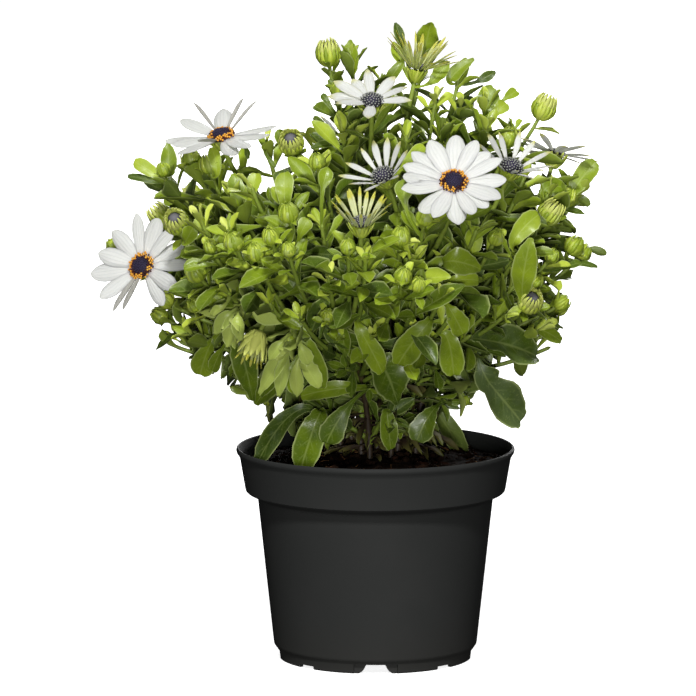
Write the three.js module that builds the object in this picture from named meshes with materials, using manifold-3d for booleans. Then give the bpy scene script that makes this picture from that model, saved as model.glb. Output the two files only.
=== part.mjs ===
// An African daisy (osteospermum) in a round nursery pot.
// Millimetres, +Z up. The origin is the centre of the pot's flat underside, and -Y is the front.
// The plant branches from its crown into main stems. Side shoots leave each main stem and end in tips:
// rosettes of young leaves, buds or flower stalks. A main stem, with all that grows on it, is one solid.

import * as THREE from 'three';
import { mergeVertices } from 'three/addons/utils/BufferGeometryUtils.js';
import Module from 'manifold-3d';

const wasm = await Module();
wasm.setup();

// ---- Pot -------------------------------------------------------------------------------------------

const POT_HEIGHT = 100;
const POT_SIDES = 32;
const RIM_RADIUS = 65.5;
const COLLAR_TOP_RADIUS = 63.8;
const COLLAR_FOOT_RADIUS = 61.2;
const COLLAR_FOOT_HEIGHT = 79.4;
const SHOULDER_RADIUS = 55.4;
const SHOULDER_HEIGHT = 76.2;
const WALL_FOOT_RADIUS = 47.8;
const WALL_FOOT_HEIGHT = 6.6;
const SKIRT_RADIUS = 46.4;
const SKIRT_HEIGHT = 4.6;
const LIP_HEIGHT = 95.5;
const BASE_RADIUS = 45.8;
const WALL = 1.3;
// The base stands on a skirt and on a boss in its middle. Between them its underside is raised.
const SKIRT = 2.2;
const UNDERSIDE = 4.6;
const FLOOR = 6.2;
const BOSS_RADIUS = 17;
const BOSS_FLOOR = 1.8;
// Drains through the skirt, each wider at the ground and set in a shallow cheek, with low notches between.
const DRAINS = 4;
const DRAIN_TOP_WIDTH = 8.6;
const DRAIN_FOOT_WIDTH = 15.6;
const DRAIN_HEIGHT = 4.4;
const CHEEK_WIDTH = 20.6;
const CHEEK_DEPTH = 1;
const NOTCH_WIDTH = 9;
const NOTCH_HEIGHT = 1.6;
const CUT_DEPTH = 5;

// ---- Soil ------------------------------------------------------------------------------------------

const GAP = 0.3;
const TOLERANCE = 0.02;
const SOIL_EDGE_HEIGHT = 92.5;
const SOIL_MOUND_HEIGHT = 99;
const HOLE_DEPTH = 9;
const HOLE_SIDES = 4;
const HOLE_CLEARANCE = 0.8;

// ---- Main stems ------------------------------------------------------------------------------------

const STEMS = 16;
const GOLDEN_ANGLE = THREE.MathUtils.degToRad(137.508);
const CROWN_RADIUS = 21;
const STEM_RADIUS = 2.1;
const STEM_SIDES = 4;
const STEM_STEPS = 4;
const FORK_SPREAD = 62;
const FORK_CENTRE_X = -6;
const FORK_TOP_HEIGHT = 232;
const FORK_HEIGHT_DROP = 72;
const STEM_RISE = 34;

// ---- Shoots, leaves and buds -----------------------------------------------------------------------

const SHOOT_RADIUS = 1.35;
const SHOOT_SIDES = 3;
const SHOOT_STEPS = 2;
const STALK_STEPS = 3;
const BUSH_HEART = new THREE.Vector3(-6, 0, 150);
const BUSH_CENTRE_X = -6;
const BUSH_ROUNDNESS = 0.9;
// The bush's half width at each height.
const BUSH_OUTLINE = [
  [88, 58], [122, 66], [146, 82], [165, 102], [198, 118], [217, 110], [236, 100], [255, 84], [274, 52],
  [300, 34],
];
// The tips are listed by the height that they seem to have from the front, seen 8.5 degrees from above.
const SIGHT_RISE = 0.15;
// How high the far side may reach, seen from the front, so that it stays behind what the front shows.
const SKYLINE = [
  [-125, 188], [-100, 214], [-64, 220], [-32, 226], [-25, 266], [38, 262], [52, 244], [68, 230], [92, 222],
  [112, 190],
];
const LEAF_FIRST = 8.5;
const LEAF_GROWTH = 1.8;
const LEAF_LONGEST = 26;
const LEAF_BREADTH = 0.48;
const LEAF_THICKNESS = 1.1;
const SHOOTS_FROM = 0.42;
const SHOOTS_TO = 0.98;
const BUD_SIZE = { bud: 5.6, opening: 6.2, leafy: 0, droop: 4, stalk: 0 };
const TIP_LIFT = 0.5;
const DROOP_LIFT = -1.6;
// How many leaves are missing below the tip, by what the shoot ends in. A flower stalk is bare at first.
const BARE_LEAVES = { bud: 1, opening: 2, leafy: 0, droop: 0, stalk: 6 };
// Which leaves of a shoot, counted down from its tip, are built, and down to which one behind the front.
const LEAVES_COUNTED = 16;
const LEAVES_BUILT = [3, 6, 9];
const LEAVES_BEHIND = 6;
const FRONT_FROM = -20;
const ROOT_SHARES = [0.35, 0.45, 0.55, 0.65, 0.75, 0.85, 0.94];
const ROOTS_TRIED = 8;
const SHOOT_SEED = 4100;
const BLOOM_SEED = 900;
const BACK_SEED = 77;
const BACK_SHIFT = 14;
const BACK_FROM = 0.2;
const BACK_DEPTH = 0.4;
const BACK_BREADTH = 10;
// How far a shoot's middle, a leaf's turn or a large leaf's tip is shifted to keep it clear, in order.
const BEND_TRIES = [
  [0, 0], [9, 0], [-9, 0], [0, 9], [0, -9], [16, 6], [-16, 6], [16, -10], [-16, -10], [26, 0], [-26, 0],
];
const TIP_TRIES = [
  [0, 0, 0], [0, 0, 5], [-5, 0, 0], [5, 0, 0], [0, 0, -5], [0, -5, 3], [0, 5, 3], [-7, 0, 6], [7, 0, 6],
  [-7, 0, -6], [7, 0, -6], [0, -9, 0], [0, 9, 0], [0, 0, 11], [-11, 0, 0], [11, 0, 0],
];
const TURN_TRIES = [0, 0.25, -0.25, 0.5, -0.5, 0.8, -0.8];
const LEAF_TRIES = [[0, 0], [4, 0], [0, 4], [4, -4], [8, 0], [8, 5], [0, -6], [12, -3], [12, 6]];

// Blade outlines: where along the blade, how broad and how thick, as shares of its own sizes.
const SMALL_LEAF = [[0.3, 0.5, 1.2], [0.68, 1, 0.85]];
const LARGE_LEAF = [[0.22, 0.3, 1.25], [0.5, 0.72, 1], [0.8, 1, 0.8]];
const LOBED_LEAF = [
  [0.2, 0.2, 1.3], [0.42, 0.74, 1], [0.5, 0.6, 1], [0.66, 1, 0.9], [0.76, 0.78, 0.85], [0.88, 0.72, 0.8],
];

// Tips of the front half: across, height seen from the front, how far out (1 is the outer face), and kind.
const FRONT_TIPS = [
  // top
  [-22, 286, 0.2, 'bud'], [-11, 285, 0.1, 'leafy'], [-17, 268, 0.3, 'bud'], [-15, 248, 0.5, 'leafy'],
  [3, 277, 0.1, 'leafy'], [23, 291, -0.9, 'leafy'], [39, 276, 0, 'leafy'], [28, 265, 0.3, 'leafy'],
  [40, 262, 0.1, 'leafy'], [52, 262, 0.2, 'leafy'], [52, 251, 0.5, 'leafy'], [65, 250, 0.2, 'leafy'],
  [78, 259, 0.2, 'opening'], [62, 246, 0.3, 'bud'], [34, 248, 0.5, 'leafy'], [14, 246, 0.7, 'leafy'],
  // left
  [-99, 231, 0.1, 'bud'], [-86, 236, 0.2, 'bud'], [-78, 233, 0.35, 'bud'], [-108, 214, 0.3, 'opening'],
  [-129, 199, 0.1, 'bud'], [-92, 205, 0.6, 'opening'], [-81, 207, 0.75, 'leafy'], [-68, 202, 0.9, 'leafy'],
  [-76, 194, 0.85, 'bud'], [-65, 196, 0.95, 'bud'], [-55, 191, 0.95, 'bud'], [-48, 198, 1, 'bud'],
  [-40, 192, 1, 'bud'], [-40, 209, 0.95, 'bud'], [-39, 242, 0.5, 'opening'], [-27, 233, 0.7, 'bud'],
  [-51, 245, 0.3, 'leafy'], [-83, 182, 0.8, 'bud'], [-100, 171, 0.5, 'bud'], [-101, 162, 0.45, 'bud'],
  [-84, 167, 0.8, 'bud'], [-69, 174, 0.85, 'leafy'], [-88, 154, 0.6, 'leafy'], [-99, 150, 0.3, 'leafy'],
  [-66, 220, 0.6, 'leafy'], [-57, 222, 0.7, 'leafy'], [-42, 217, 0.8, 'leafy'], [-25, 205, 0.8, 'leafy'],
  // middle
  [-13, 196, 1.05, 'bud'], [-22, 180, 1.05, 'leafy'], [-5, 188, 1.05, 'leafy'], [12, 180, 1.1, 'bud'],
  [19, 176, 1.05, 'bud'], [-22, 162, 1.05, 'bud'], [11, 208, 1.05, 'bud'], [22, 210, 1.05, 'bud'],
  [-35, 162, 1, 'leafy'], [-49, 168, 0.95, 'leafy'], [7, 167, 1, 'leafy'], [17, 188, 0.95, 'leafy'],
  [30, 171, 0.95, 'leafy'], [33, 187, 0.8, 'leafy'], [46, 202, 0.8, 'leafy'], [34, 161, 0.95, 'leafy'],
  [18, 152, 0.95, 'leafy'], [-2, 153, 1, 'leafy'], [44, 153, 0.8, 'leafy'], [-15, 153, 1, 'leafy'],
  // right
  [55, 198, 0.75, 'bud'], [65, 177, 0.6, 'leafy'], [61, 163, 0.8, 'leafy'], [71, 168, 0.75, 'opening'],
  [74, 178, 0.5, 'bud'], [82, 190, 0.4, 'bud'], [93, 195, 0.1, 'bud'], [97, 192, 0, 'bud'],
  [87, 168, 0.3, 'bud'], [80, 209, 0.4, 'opening'], [81, 221, 0.3, 'leafy'], [90, 218, 0.1, 'bud'],
  [96, 222, 0, 'leafy'], [70, 198, 0.6, 'leafy'], [69, 228, 0.5, 'leafy'], [77, 156, 0.5, 'leafy'],
  // hanging
  [-65, 159, 0.95, 'droop'], [-42, 145, 1, 'droop'], [42, 122, 0.5, 'droop'],
];

// Single large leaves: root across and height, tip across and height, how far out, and breadth.
const FRONT_LEAVES = [
  [-64, 153, -57, 122, 0.85, 12], [-76, 153, -82, 134, 0.8, 12], [-71, 148, -76, 136, 0.8, 7],
  [-35, 124, -55, 93, 0.75, 10], [-24, 122, -35, 89, 0.8, 14], [-12, 122, -23, 102, 0.8, 12],
  [-2, 128, -35, 124, 0.8, 9], [-40, 139, -56, 120, 0.8, 13], [-10, 158, 3, 135, 1, 10],
  [25, 159, 10, 139, 1, 13], [2, 143, 10, 121, 0.9, 19], [4, 122, 7, 99, 0.7, 9],
  [28, 121, 19, 103, 0.7, 12], [33, 156, 36, 134, 0.95, 12], [70, 158, 87, 150, 0.5, 7],
  [27, 188, 48, 183, 0.9, 13], [30, 177, 47, 178, 0.85, 8], [65, 167, 71, 198, 0.8, 12],
  [58, 192, 75, 209, 0.7, 10], [90, 217, 103, 235, 0.05, 10], [75, 223, 89, 222, 0.3, 9],
  [23, 287, 26, 302, -0.9, 11], [30, 270, 46, 283, 0.05, 7], [52, 257, 53, 271, 0.2, 11],
  [54, 255, 61, 262, 0.25, 7], [-11, 275, -12, 292, 0.1, 8], [-100, 226, -113, 235, 0.1, 7],
  [-99, 223, -116, 228, 0.1, 4], [-96, 226, -97, 244, 0.1, 8], [-42, 209, -42, 228, 0.8, 9],
  [-63, 213, -66, 228, 0.6, 8], [-58, 212, -55, 228, 0.65, 7], [-37, 193, -31, 206, 0.95, 7],
  [11, 209, 13, 224, 1, 9], [45, 207, 44, 190, 0.75, 9], [-92, 153, -103, 146, 0.4, 5],
  [32, 167, 40, 153, 0.95, 11], [9, 177, 7, 160, 1, 7], [-16, 158, -14, 142, 1, 8],
  [-35, 155, -25, 128, 0.95, 11], [-42, 143, -53, 124, 1, 9], [-41, 142, -37, 126, 1, 8],
];
const FRONT_LOBED_LEAVES = [
  [43, 137, 67, 111, 0.85, 21], [41, 158, 76, 142, 0.9, 23],
];

// ---- Blooms ----------------------------------------------------------------------------------------

// Across, height seen from the front, how far out (minus is the back), the way the bloom faces as a turn
// from the front (plus is to the right) and a lift from level, and its kind.
const BLOOMS = [
  { name: 'left', at: [-110, 186, 0.45], turn: -31, lift: 26, kind: 'loose' },
  { name: 'upper_left', at: [-72, 248, 0.5], turn: -32, lift: 68, kind: 'loose' },
  { name: 'main', at: [35, 224, 1.12], turn: 0, lift: 45, kind: 'open' },
  { name: 'top_white', at: [-2, 263, 0.9], turn: 0, lift: 59, kind: 'pointed' },
  { name: 'middle', at: [2, 228, 0.74], turn: -35, lift: 50, kind: 'half_open' },
  { name: 'upper_right', at: [63, 233, 0.7], turn: 30, lift: 58, kind: 'half_open' },
  { name: 'cup', at: [-7, 206, 1.05], turn: 0, lift: 73, kind: 'cup' },
  { name: 'top_spray', at: [20, 281, 0.2], turn: 70, lift: 77, kind: 'spray' },
  { name: 'right_back', at: [84, 241, -0.1], turn: 150, lift: 68, kind: 'turned' },
  { name: 'wilted', at: [-56, 145, 1.06], turn: -40, lift: -64, kind: 'wilted' },
  { name: 'back_right', at: [58, 214, -1.1], turn: 150, lift: 36, kind: 'open' },
  { name: 'back_left', at: [-62, 205, -1.1], turn: -145, lift: 30, kind: 'loose' },
  { name: 'back_top', at: [-12, 250, -0.9], turn: 178, lift: 56, kind: 'half_open' },
];
// Each kind: petals, the radius at which they part, their length from there, their breadth, their rise from
// the bloom's plane in degrees and its change per millimetre, the radius of the disc and its dome's height.
const BLOOM_KINDS = {
  open: { petals: 17, valley: 7.4, length: 17.6, breadth: 6.8, rise: 12, curl: 0.3, disc: 6.3, dome: 3.2 },
  loose: { petals: 13, valley: 7.4, length: 18.4, breadth: 7.2, rise: 8, curl: 0.1, disc: 6.3, dome: 3.2 },
  pointed: { petals: 12, valley: 5.8, length: 13.6, breadth: 5.6, rise: 11, curl: 0.2, disc: 5.3, dome: 3 },
  half_open: { petals: 13, valley: 4.8, length: 14.5, breadth: 3.8, rise: 40, curl: 0.5, disc: 4.4, dome: 2.4 },
  turned: { petals: 13, valley: 5.6, length: 17.4, breadth: 4.4, rise: 6, curl: 0.4, disc: 4.8, dome: 2 },
  spray: { petals: 15, valley: 4.2, length: 16.5, breadth: 2.9, rise: 42, curl: 0.3, disc: 3.4, dome: 2 },
  cup: { petals: 14, valley: 4, length: 16, breadth: 2.9, rise: 53, curl: 0.2, disc: 3.2, dome: 2 },
  wilted: { petals: 9, valley: 4, length: 9, breadth: 2.8, rise: 78, curl: 0, disc: 2.6, dome: 1.4 },
};
const PETAL_SHOULDER = 0.8;
const PETAL_THICKNESS = 0.95;
const DISC_SIDES = 8;
const DISC_LEVEL = 3;
const INVOLUCRE_DEPTH = 6.5;
const INVOLUCRE_SIDES = 6;

// ---- Colours ---------------------------------------------------------------------------------------

const finish = (color, roughness) => new THREE.MeshStandardMaterial({ color, roughness, metalness: 0 });
const POT_FINISH = finish(0x1d1d1c, 0.5);
const SOIL_FINISH = finish(0x1c140b, 0.95);
const LEAF_FINISH = finish(0x657126, 0.55);
const PETAL_FINISH = finish(0xf1f2ec, 0.6);
const DISC_FINISH = finish(0x3a2c46, 0.7);

// ---- Solids ----------------------------------------------------------------------------------------

// Vertex positions and triangles with nothing else, so that corners that meet are one vertex.
function bare(geometry) {
  const plain = geometry.clone();
  for (const attribute of Object.keys(plain.attributes)) {
    if (attribute !== 'position') plain.deleteAttribute(attribute);
  }
  return mergeVertices(plain);
}

function solidOf(geometry) {
  const plain = bare(geometry);
  return new wasm.Manifold(new wasm.Mesh({
    numProp: 3,
    vertProperties: new Float32Array(plain.attributes.position.array),
    triVerts: new Uint32Array(plain.index.array),
  }));
}

function meshOf(name, solid, material) {
  const { vertProperties, triVerts } = solid.getMesh();
  const geometry = new THREE.BufferGeometry();
  geometry.setAttribute('position', new THREE.BufferAttribute(vertProperties, 3));
  geometry.setIndex(new THREE.BufferAttribute(triVerts, 1));
  geometry.computeVertexNormals();
  const mesh = new THREE.Mesh(geometry, material);
  mesh.name = name;
  return mesh;
}

function joined(solids) {
  return solids.reduce((whole, solid) => whole.add(solid));
}

// A regular section swept along a curve.
function tube(curve, radius, sides, steps) {
  const section = new THREE.Shape();
  for (let side = 0; side < sides; side += 1) {
    const angle = side / sides * 2 * Math.PI;
    const corner = [radius * Math.cos(angle), radius * Math.sin(angle)];
    if (side === 0) section.moveTo(...corner);
    else section.lineTo(...corner);
  }
  section.closePath();
  return solidOf(new THREE.ExtrudeGeometry(section, { steps, extrudePath: curve, curveSegments: 1 }));
}

// The middle of a tube's straight pieces, at a share of its length.
function middleOfTube(curve, share, steps) {
  const step = Math.min(steps - 1, Math.floor(share * steps));
  return curve.getPointAt(step / steps).lerp(curve.getPointAt((step + 1) / steps), share * steps - step);
}

// A leaf: a three-sided spindle laid along a curve, with a flat upper face and a keel under its midrib.
// from leaves out the blade's root, and margin swells it all round.
function blade(curve, face, outline, { breadth, from = 0, margin = 0 }) {
  const rings = outline.filter(([share]) => share > from + 0.05);
  const rows = [[from, 0, 0], ...rings, [1, 0, 0]];
  const shape = new THREE.SphereGeometry(1, 3, rings.length + 1);
  const positions = shape.attributes.position;
  const sideways = [-1, 1, 0, -1];
  rows.forEach(([share, broad, thick], row) => {
    const isEnd = broad === 0;
    const along = curve.getTangent(share);
    const across = new THREE.Vector3().crossVectors(face, along).normalize();
    const up = new THREE.Vector3().crossVectors(along, across);
    const half = isEnd ? 0 : broad * breadth / 2 + margin;
    const keel = thick * LEAF_THICKNESS + margin;
    for (let column = 0; column < 4; column += 1) {
      const side = sideways[column];
      const point = curve.getPoint(share).addScaledVector(across, side * half);
      if (!isEnd) point.addScaledVector(up, side === 0 ? -keel : margin);
      if (isEnd) point.addScaledVector(along, row === 0 ? -margin : margin);
      positions.setXYZ(row * 4 + column, point.x, point.y, point.z);
    }
  });
  return solidOf(shape);
}

// ---- Where things grow -----------------------------------------------------------------------------

// Numbers from 0 to 1 that are the same in every run.
function seededDraws(seed) {
  let state = seed;
  const draw = () => {
    state = state * 16807 % 2147483647;
    return state / 2147483647;
  };
  draw();
  draw();
  return draw;
}

// The height of a line through points, at a place along it.
function lineAt(points, place) {
  const last = points.length - 1;
  if (place <= points[0][0]) return points[0][1];
  if (place >= points[last][0]) return points[last][1];
  const next = points.findIndex(([end]) => end > place);
  const [from, before] = points[next - 1];
  const [to, after] = points[next];
  return before + (after - before) * (place - from) / (to - from);
}

// A place in the bush from how it looks from the front and how far out it lies.
function placeInBush(across, height, outness) {
  const reach = lineAt(BUSH_OUTLINE, height) ** 2 - (across - BUSH_CENTRE_X) ** 2;
  const forward = BUSH_ROUNDNESS * Math.sqrt(Math.max(0, reach)) * outness;
  return new THREE.Vector3(across, -forward, height + SIGHT_RISE * forward);
}

function mainStem(index) {
  const share = (index + 0.5) / STEMS;
  const angle = index * GOLDEN_ANGLE;
  const heading = new THREE.Vector3(Math.cos(angle), Math.sin(angle), 0);
  const foot = heading.clone().multiplyScalar(CROWN_RADIUS * Math.sqrt(share));
  foot.z = soilHeightAt(foot.length()) + 1;
  const fork = heading.clone().multiplyScalar(FORK_SPREAD * Math.sqrt(share));
  fork.x += FORK_CENTRE_X;
  fork.z = FORK_TOP_HEIGHT - FORK_HEIGHT_DROP * share;
  const low = foot.clone().add(new THREE.Vector3(0, 0, STEM_RISE));
  const high = fork.clone().addScaledVector(fork.clone().sub(BUSH_HEART).normalize(), -STEM_RISE / 2);
  return { foot, fork, curve: new THREE.CubicBezierCurve3(foot, low, high, fork) };
}

function tipDirection(tip, lift) {
  const outwards = tip.clone().sub(BUSH_HEART).normalize();
  outwards.z += lift;
  return outwards.normalize();
}

// A shoot leaves its main stem part of the way up and bends into the way that its tip points.
function shootTo(stem, tip, direction, startShare) {
  const start = middleOfTube(stem.curve, startShare, STEM_STEPS);
  const bend = tip.clone().addScaledVector(direction, -0.5 * tip.distanceTo(start));
  return new THREE.QuadraticBezierCurve3(start, bend, tip);
}

// The leaves of a shoot, from its tip down: each one turned by the golden angle from the last, longer and
// more spread. Returns the curve of each midrib with the way its upper face looks.
function leavesOf(curve, draw, count) {
  const reach = curve.getLength();
  const phase = draw() * 2 * Math.PI;
  const leaves = [];
  for (let index = 0; index < count; index += 1) {
    const drawn = [draw(), draw(), draw(), draw()];
    const below = 1.5 + 1.3 * index + 0.17 * index * index;
    const share = 1 - below / reach;
    if (share < 0.12) break;
    const length = Math.min(LEAF_LONGEST, LEAF_FIRST + LEAF_GROWTH * index) * (0.85 + 0.3 * drawn[0]);
    const turn = phase + index * GOLDEN_ANGLE + (drawn[1] - 0.5) * 0.6;
    const spread = THREE.MathUtils.degToRad(Math.min(66, 30 + 4.5 * index) + (drawn[2] - 0.5) * 24);
    leaves.push({ index, share, length, turn, spread, droop: 0.55 * drawn[3] - 0.15 });
  }
  return leaves;
}

function midribOf(curve, steps, leaf, extraTurn) {
  const root = middleOfTube(curve, leaf.share, steps);
  const axis = curve.getTangentAt(leaf.share);
  const side = new THREE.Vector3(0, 0, 1).cross(axis);
  if (side.length() < 0.1) side.set(1, 0, 0).cross(axis);
  side.normalize();
  const other = new THREE.Vector3().crossVectors(axis, side);
  const turn = leaf.turn + extraTurn;
  const out = side.multiplyScalar(Math.cos(turn)).addScaledVector(other, Math.sin(turn));
  const [along, outwards] = [Math.cos(leaf.spread), Math.sin(leaf.spread)];
  const start = axis.clone().multiplyScalar(along).addScaledVector(out, outwards);
  const face = axis.clone().multiplyScalar(outwards).addScaledVector(out, -along);
  const bend = root.clone().addScaledVector(start, leaf.length * 0.55);
  const end = start.clone().addScaledVector(face, -leaf.droop);
  end.z -= leaf.droop * 0.4;
  const tip = bend.clone().addScaledVector(end.normalize(), leaf.length * 0.45);
  return { midrib: new THREE.QuadraticBezierCurve3(root, bend, tip), face };
}

// ---- What has been built so far, so that what comes next can be kept clear of it ----------------------

const built = [];

function add(node, solid) {
  built.push({ node, solid, box: solid.boundingBox() });
}

function boxesMeet(one, two) {
  return [0, 1, 2].every((axis) => one.min[axis] <= two.max[axis] && two.min[axis] <= one.max[axis]);
}

function isClear(probe, applies) {
  const box = probe.boundingBox();
  return built.every((piece) => (
    !applies(piece) || !boxesMeet(box, piece.box) || probe.intersect(piece.solid).isEmpty()));
}

const othersThan = (node) => (piece) => piece.node !== node;
const sameAs = (node) => (piece) => piece.node === node;

// ---- Pot and soil ----------------------------------------------------------------------------------

function latheOf(profile) {
  const points = profile.map(([radius, height]) => new THREE.Vector2(radius, height));
  const turned = new THREE.LatheGeometry(points, POT_SIDES);
  turned.rotateX(Math.PI / 2);
  return turned;
}

const INNER_WALL = [
  [BASE_RADIUS - WALL, FLOOR],
  [WALL_FOOT_RADIUS - WALL, WALL_FOOT_HEIGHT + 1.2],
  [SHOULDER_RADIUS - WALL, SHOULDER_HEIGHT + WALL],
  [COLLAR_FOOT_RADIUS - WALL, COLLAR_FOOT_HEIGHT + WALL],
  [COLLAR_TOP_RADIUS - WALL, LIP_HEIGHT],
];

const BOSS_INSIDE = [
  [BOSS_RADIUS + 0.6 - WALL, FLOOR], [BOSS_RADIUS - WALL, BOSS_FLOOR], [0, BOSS_FLOOR],
];

function potSolid() {
  const outside = [
    [0, 0], [BOSS_RADIUS, 0], [BOSS_RADIUS + 0.6, UNDERSIDE], [BASE_RADIUS - SKIRT, UNDERSIDE],
    [BASE_RADIUS - SKIRT, 0], [BASE_RADIUS, 0], [SKIRT_RADIUS, SKIRT_HEIGHT],
    [WALL_FOOT_RADIUS, WALL_FOOT_HEIGHT], [SHOULDER_RADIUS, SHOULDER_HEIGHT],
    [SHOULDER_RADIUS + 3, COLLAR_FOOT_HEIGHT - 1.3], [COLLAR_FOOT_RADIUS, COLLAR_FOOT_HEIGHT + 0.8],
    [COLLAR_TOP_RADIUS, LIP_HEIGHT],
    [RIM_RADIUS, POT_HEIGHT - 1.6], [RIM_RADIUS - 0.7, POT_HEIGHT],
  ];
  const inside = [...INNER_WALL].reverse();
  let pot = solidOf(latheOf([...outside, ...inside, ...BOSS_INSIDE]));
  for (let drain = 0; drain < DRAINS; drain += 1) {
    const angle = drain * 2 * Math.PI / DRAINS;
    const cheek = CUT_DEPTH - CHEEK_DEPTH;
    pot = pot.subtract(skirtCut(angle, DRAIN_FOOT_WIDTH, DRAIN_TOP_WIDTH, DRAIN_HEIGHT, 0));
    pot = pot.subtract(skirtCut(angle, CHEEK_WIDTH, CHEEK_WIDTH, DRAIN_HEIGHT, cheek));
    pot = pot.subtract(skirtCut(angle + Math.PI / DRAINS, NOTCH_WIDTH, NOTCH_WIDTH, NOTCH_HEIGHT, 0));
  }
  return pot;
}

// A block that cuts into the skirt from outside, at an angle from the front. It stops short of its full
// depth by what is held back.
function skirtCut(angle, footWidth, topWidth, height, heldBack) {
  const block = new THREE.BoxGeometry(1, 2 * CUT_DEPTH, 2 * height);
  const positions = block.attributes.position;
  for (let index = 0; index < positions.count; index += 1) {
    const width = positions.getZ(index) > 0 ? topWidth : 2 * footWidth - topWidth;
    positions.setX(index, positions.getX(index) * width);
  }
  block.translate(0, -BASE_RADIUS - heldBack, 0);
  block.rotateZ(angle);
  return solidOf(block);
}

function soilHeightAt(radius) {
  const share = Math.min(1, radius / (COLLAR_TOP_RADIUS - WALL));
  return SOIL_EDGE_HEIGHT + (SOIL_MOUND_HEIGHT - SOIL_EDGE_HEIGHT) * (1 + Math.cos(Math.PI * share)) / 2;
}

function soilSolid() {
  const sides = INNER_WALL.slice(0, 4).map(([radius, height]) => [radius - GAP, height]);
  sides[0][1] += GAP;
  const [[lowRadius, lowHeight], [highRadius, highHeight]] = INNER_WALL.slice(3);
  const share = (SOIL_EDGE_HEIGHT - lowHeight) / (highHeight - lowHeight);
  const edge = lowRadius + (highRadius - lowRadius) * share - GAP;
  const top = [44, 20].map((radius) => [radius, soilHeightAt(radius)]);
  const boss = BOSS_INSIDE.map(([radius, height]) => [Math.max(0, radius - GAP), height + GAP]).reverse();
  const profile = [...boss, ...sides, [edge, SOIL_EDGE_HEIGHT], ...top, [0, SOIL_MOUND_HEIGHT]];
  let soil = solidOf(latheOf(profile));
  for (const { foot } of stems) {
    const hole = new THREE.CylinderGeometry(
      STEM_RADIUS + HOLE_CLEARANCE, STEM_RADIUS + HOLE_CLEARANCE, HOLE_DEPTH * 2, HOLE_SIDES);
    hole.rotateX(Math.PI / 2);
    hole.translate(foot.x, foot.y, foot.z);
    soil = soil.subtract(solidOf(hole));
  }
  return soil;
}

// ---- Stems -----------------------------------------------------------------------------------------

function growMainStem(stem, node) {
  const peg = new THREE.CylinderGeometry(STEM_RADIUS, STEM_RADIUS, HOLE_DEPTH + 3, STEM_SIDES);
  peg.rotateX(Math.PI / 2);
  peg.translate(stem.foot.x, stem.foot.y, stem.foot.z - HOLE_DEPTH + GAP + (HOLE_DEPTH + 3) / 2);
  add(node, solidOf(peg).add(tube(stem.curve, STEM_RADIUS, STEM_SIDES, STEM_STEPS)));
}

function nearestStem(place) {
  const distances = stems.map(({ fork }) => fork.distanceTo(place));
  return distances.indexOf(Math.min(...distances));
}

// Bends a shoot sideways until it is clear of the other stems, or gives up.
function clearShoot(curve, node, steps) {
  const chord = curve.v2.clone().sub(curve.v0).normalize();
  const side = new THREE.Vector3(0, 0, 1).cross(chord).normalize();
  const other = new THREE.Vector3().crossVectors(chord, side);
  for (const [push, lift] of BEND_TRIES) {
    const bent = curve.clone();
    bent.v1.addScaledVector(side, push).addScaledVector(other, lift);
    if (isClear(tube(bent, SHOOT_RADIUS + 2 * GAP, SHOOT_SIDES, steps), othersThan(node))) return bent;
  }
  return null;
}

// A round bud with twenty faces, one of which sits square on the shoot.
function budSolid(tip, direction, radius) {
  const bud = new THREE.IcosahedronGeometry(radius, 0);
  const positions = bud.attributes.position;
  const corners = [0, 1, 2].map((index) => new THREE.Vector3().fromBufferAttribute(positions, index));
  const faceCentre = corners[0].add(corners[1]).add(corners[2]).normalize();
  bud.applyQuaternion(new THREE.Quaternion().setFromUnitVectors(faceCentre, direction.clone().negate()));
  bud.translate(tip.x, tip.y, tip.z);
  return solidOf(bud);
}

// Adds a leaf if it is clear of what has been built. Only its root may run into its own stem.
function addBlade(node, midrib, face, outline, breadth) {
  const swollen = blade(midrib, face, outline, { breadth, margin: GAP });
  if (!isClear(swollen, othersThan(node))) return false;
  const outer = blade(midrib, face, outline, { breadth, from: 0.35, margin: GAP / 2 });
  if (!isClear(outer, sameAs(node))) return false;
  add(node, blade(midrib, face, outline, { breadth }));
  return true;
}

// One small leaf, turned round its shoot until it is clear.
function growLeaf({ node, curve, steps }, leaf) {
  TURN_TRIES.some((extraTurn) => {
    const { midrib, face } = midribOf(curve, steps, leaf, extraTurn);
    return addBlade(node, midrib, face, SMALL_LEAF, leaf.length * LEAF_BREADTH);
  });
}

// ---- Blooms ----------------------------------------------------------------------------------------

// A lathe about the bloom's own axis, which points the way the bloom faces.
function turnedFlower(profile, sides) {
  const points = profile.map(([radius, height]) => new THREE.Vector2(radius, height));
  const turned = new THREE.LatheGeometry(points, sides);
  turned.rotateX(Math.PI / 2);
  return turned;
}

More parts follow.
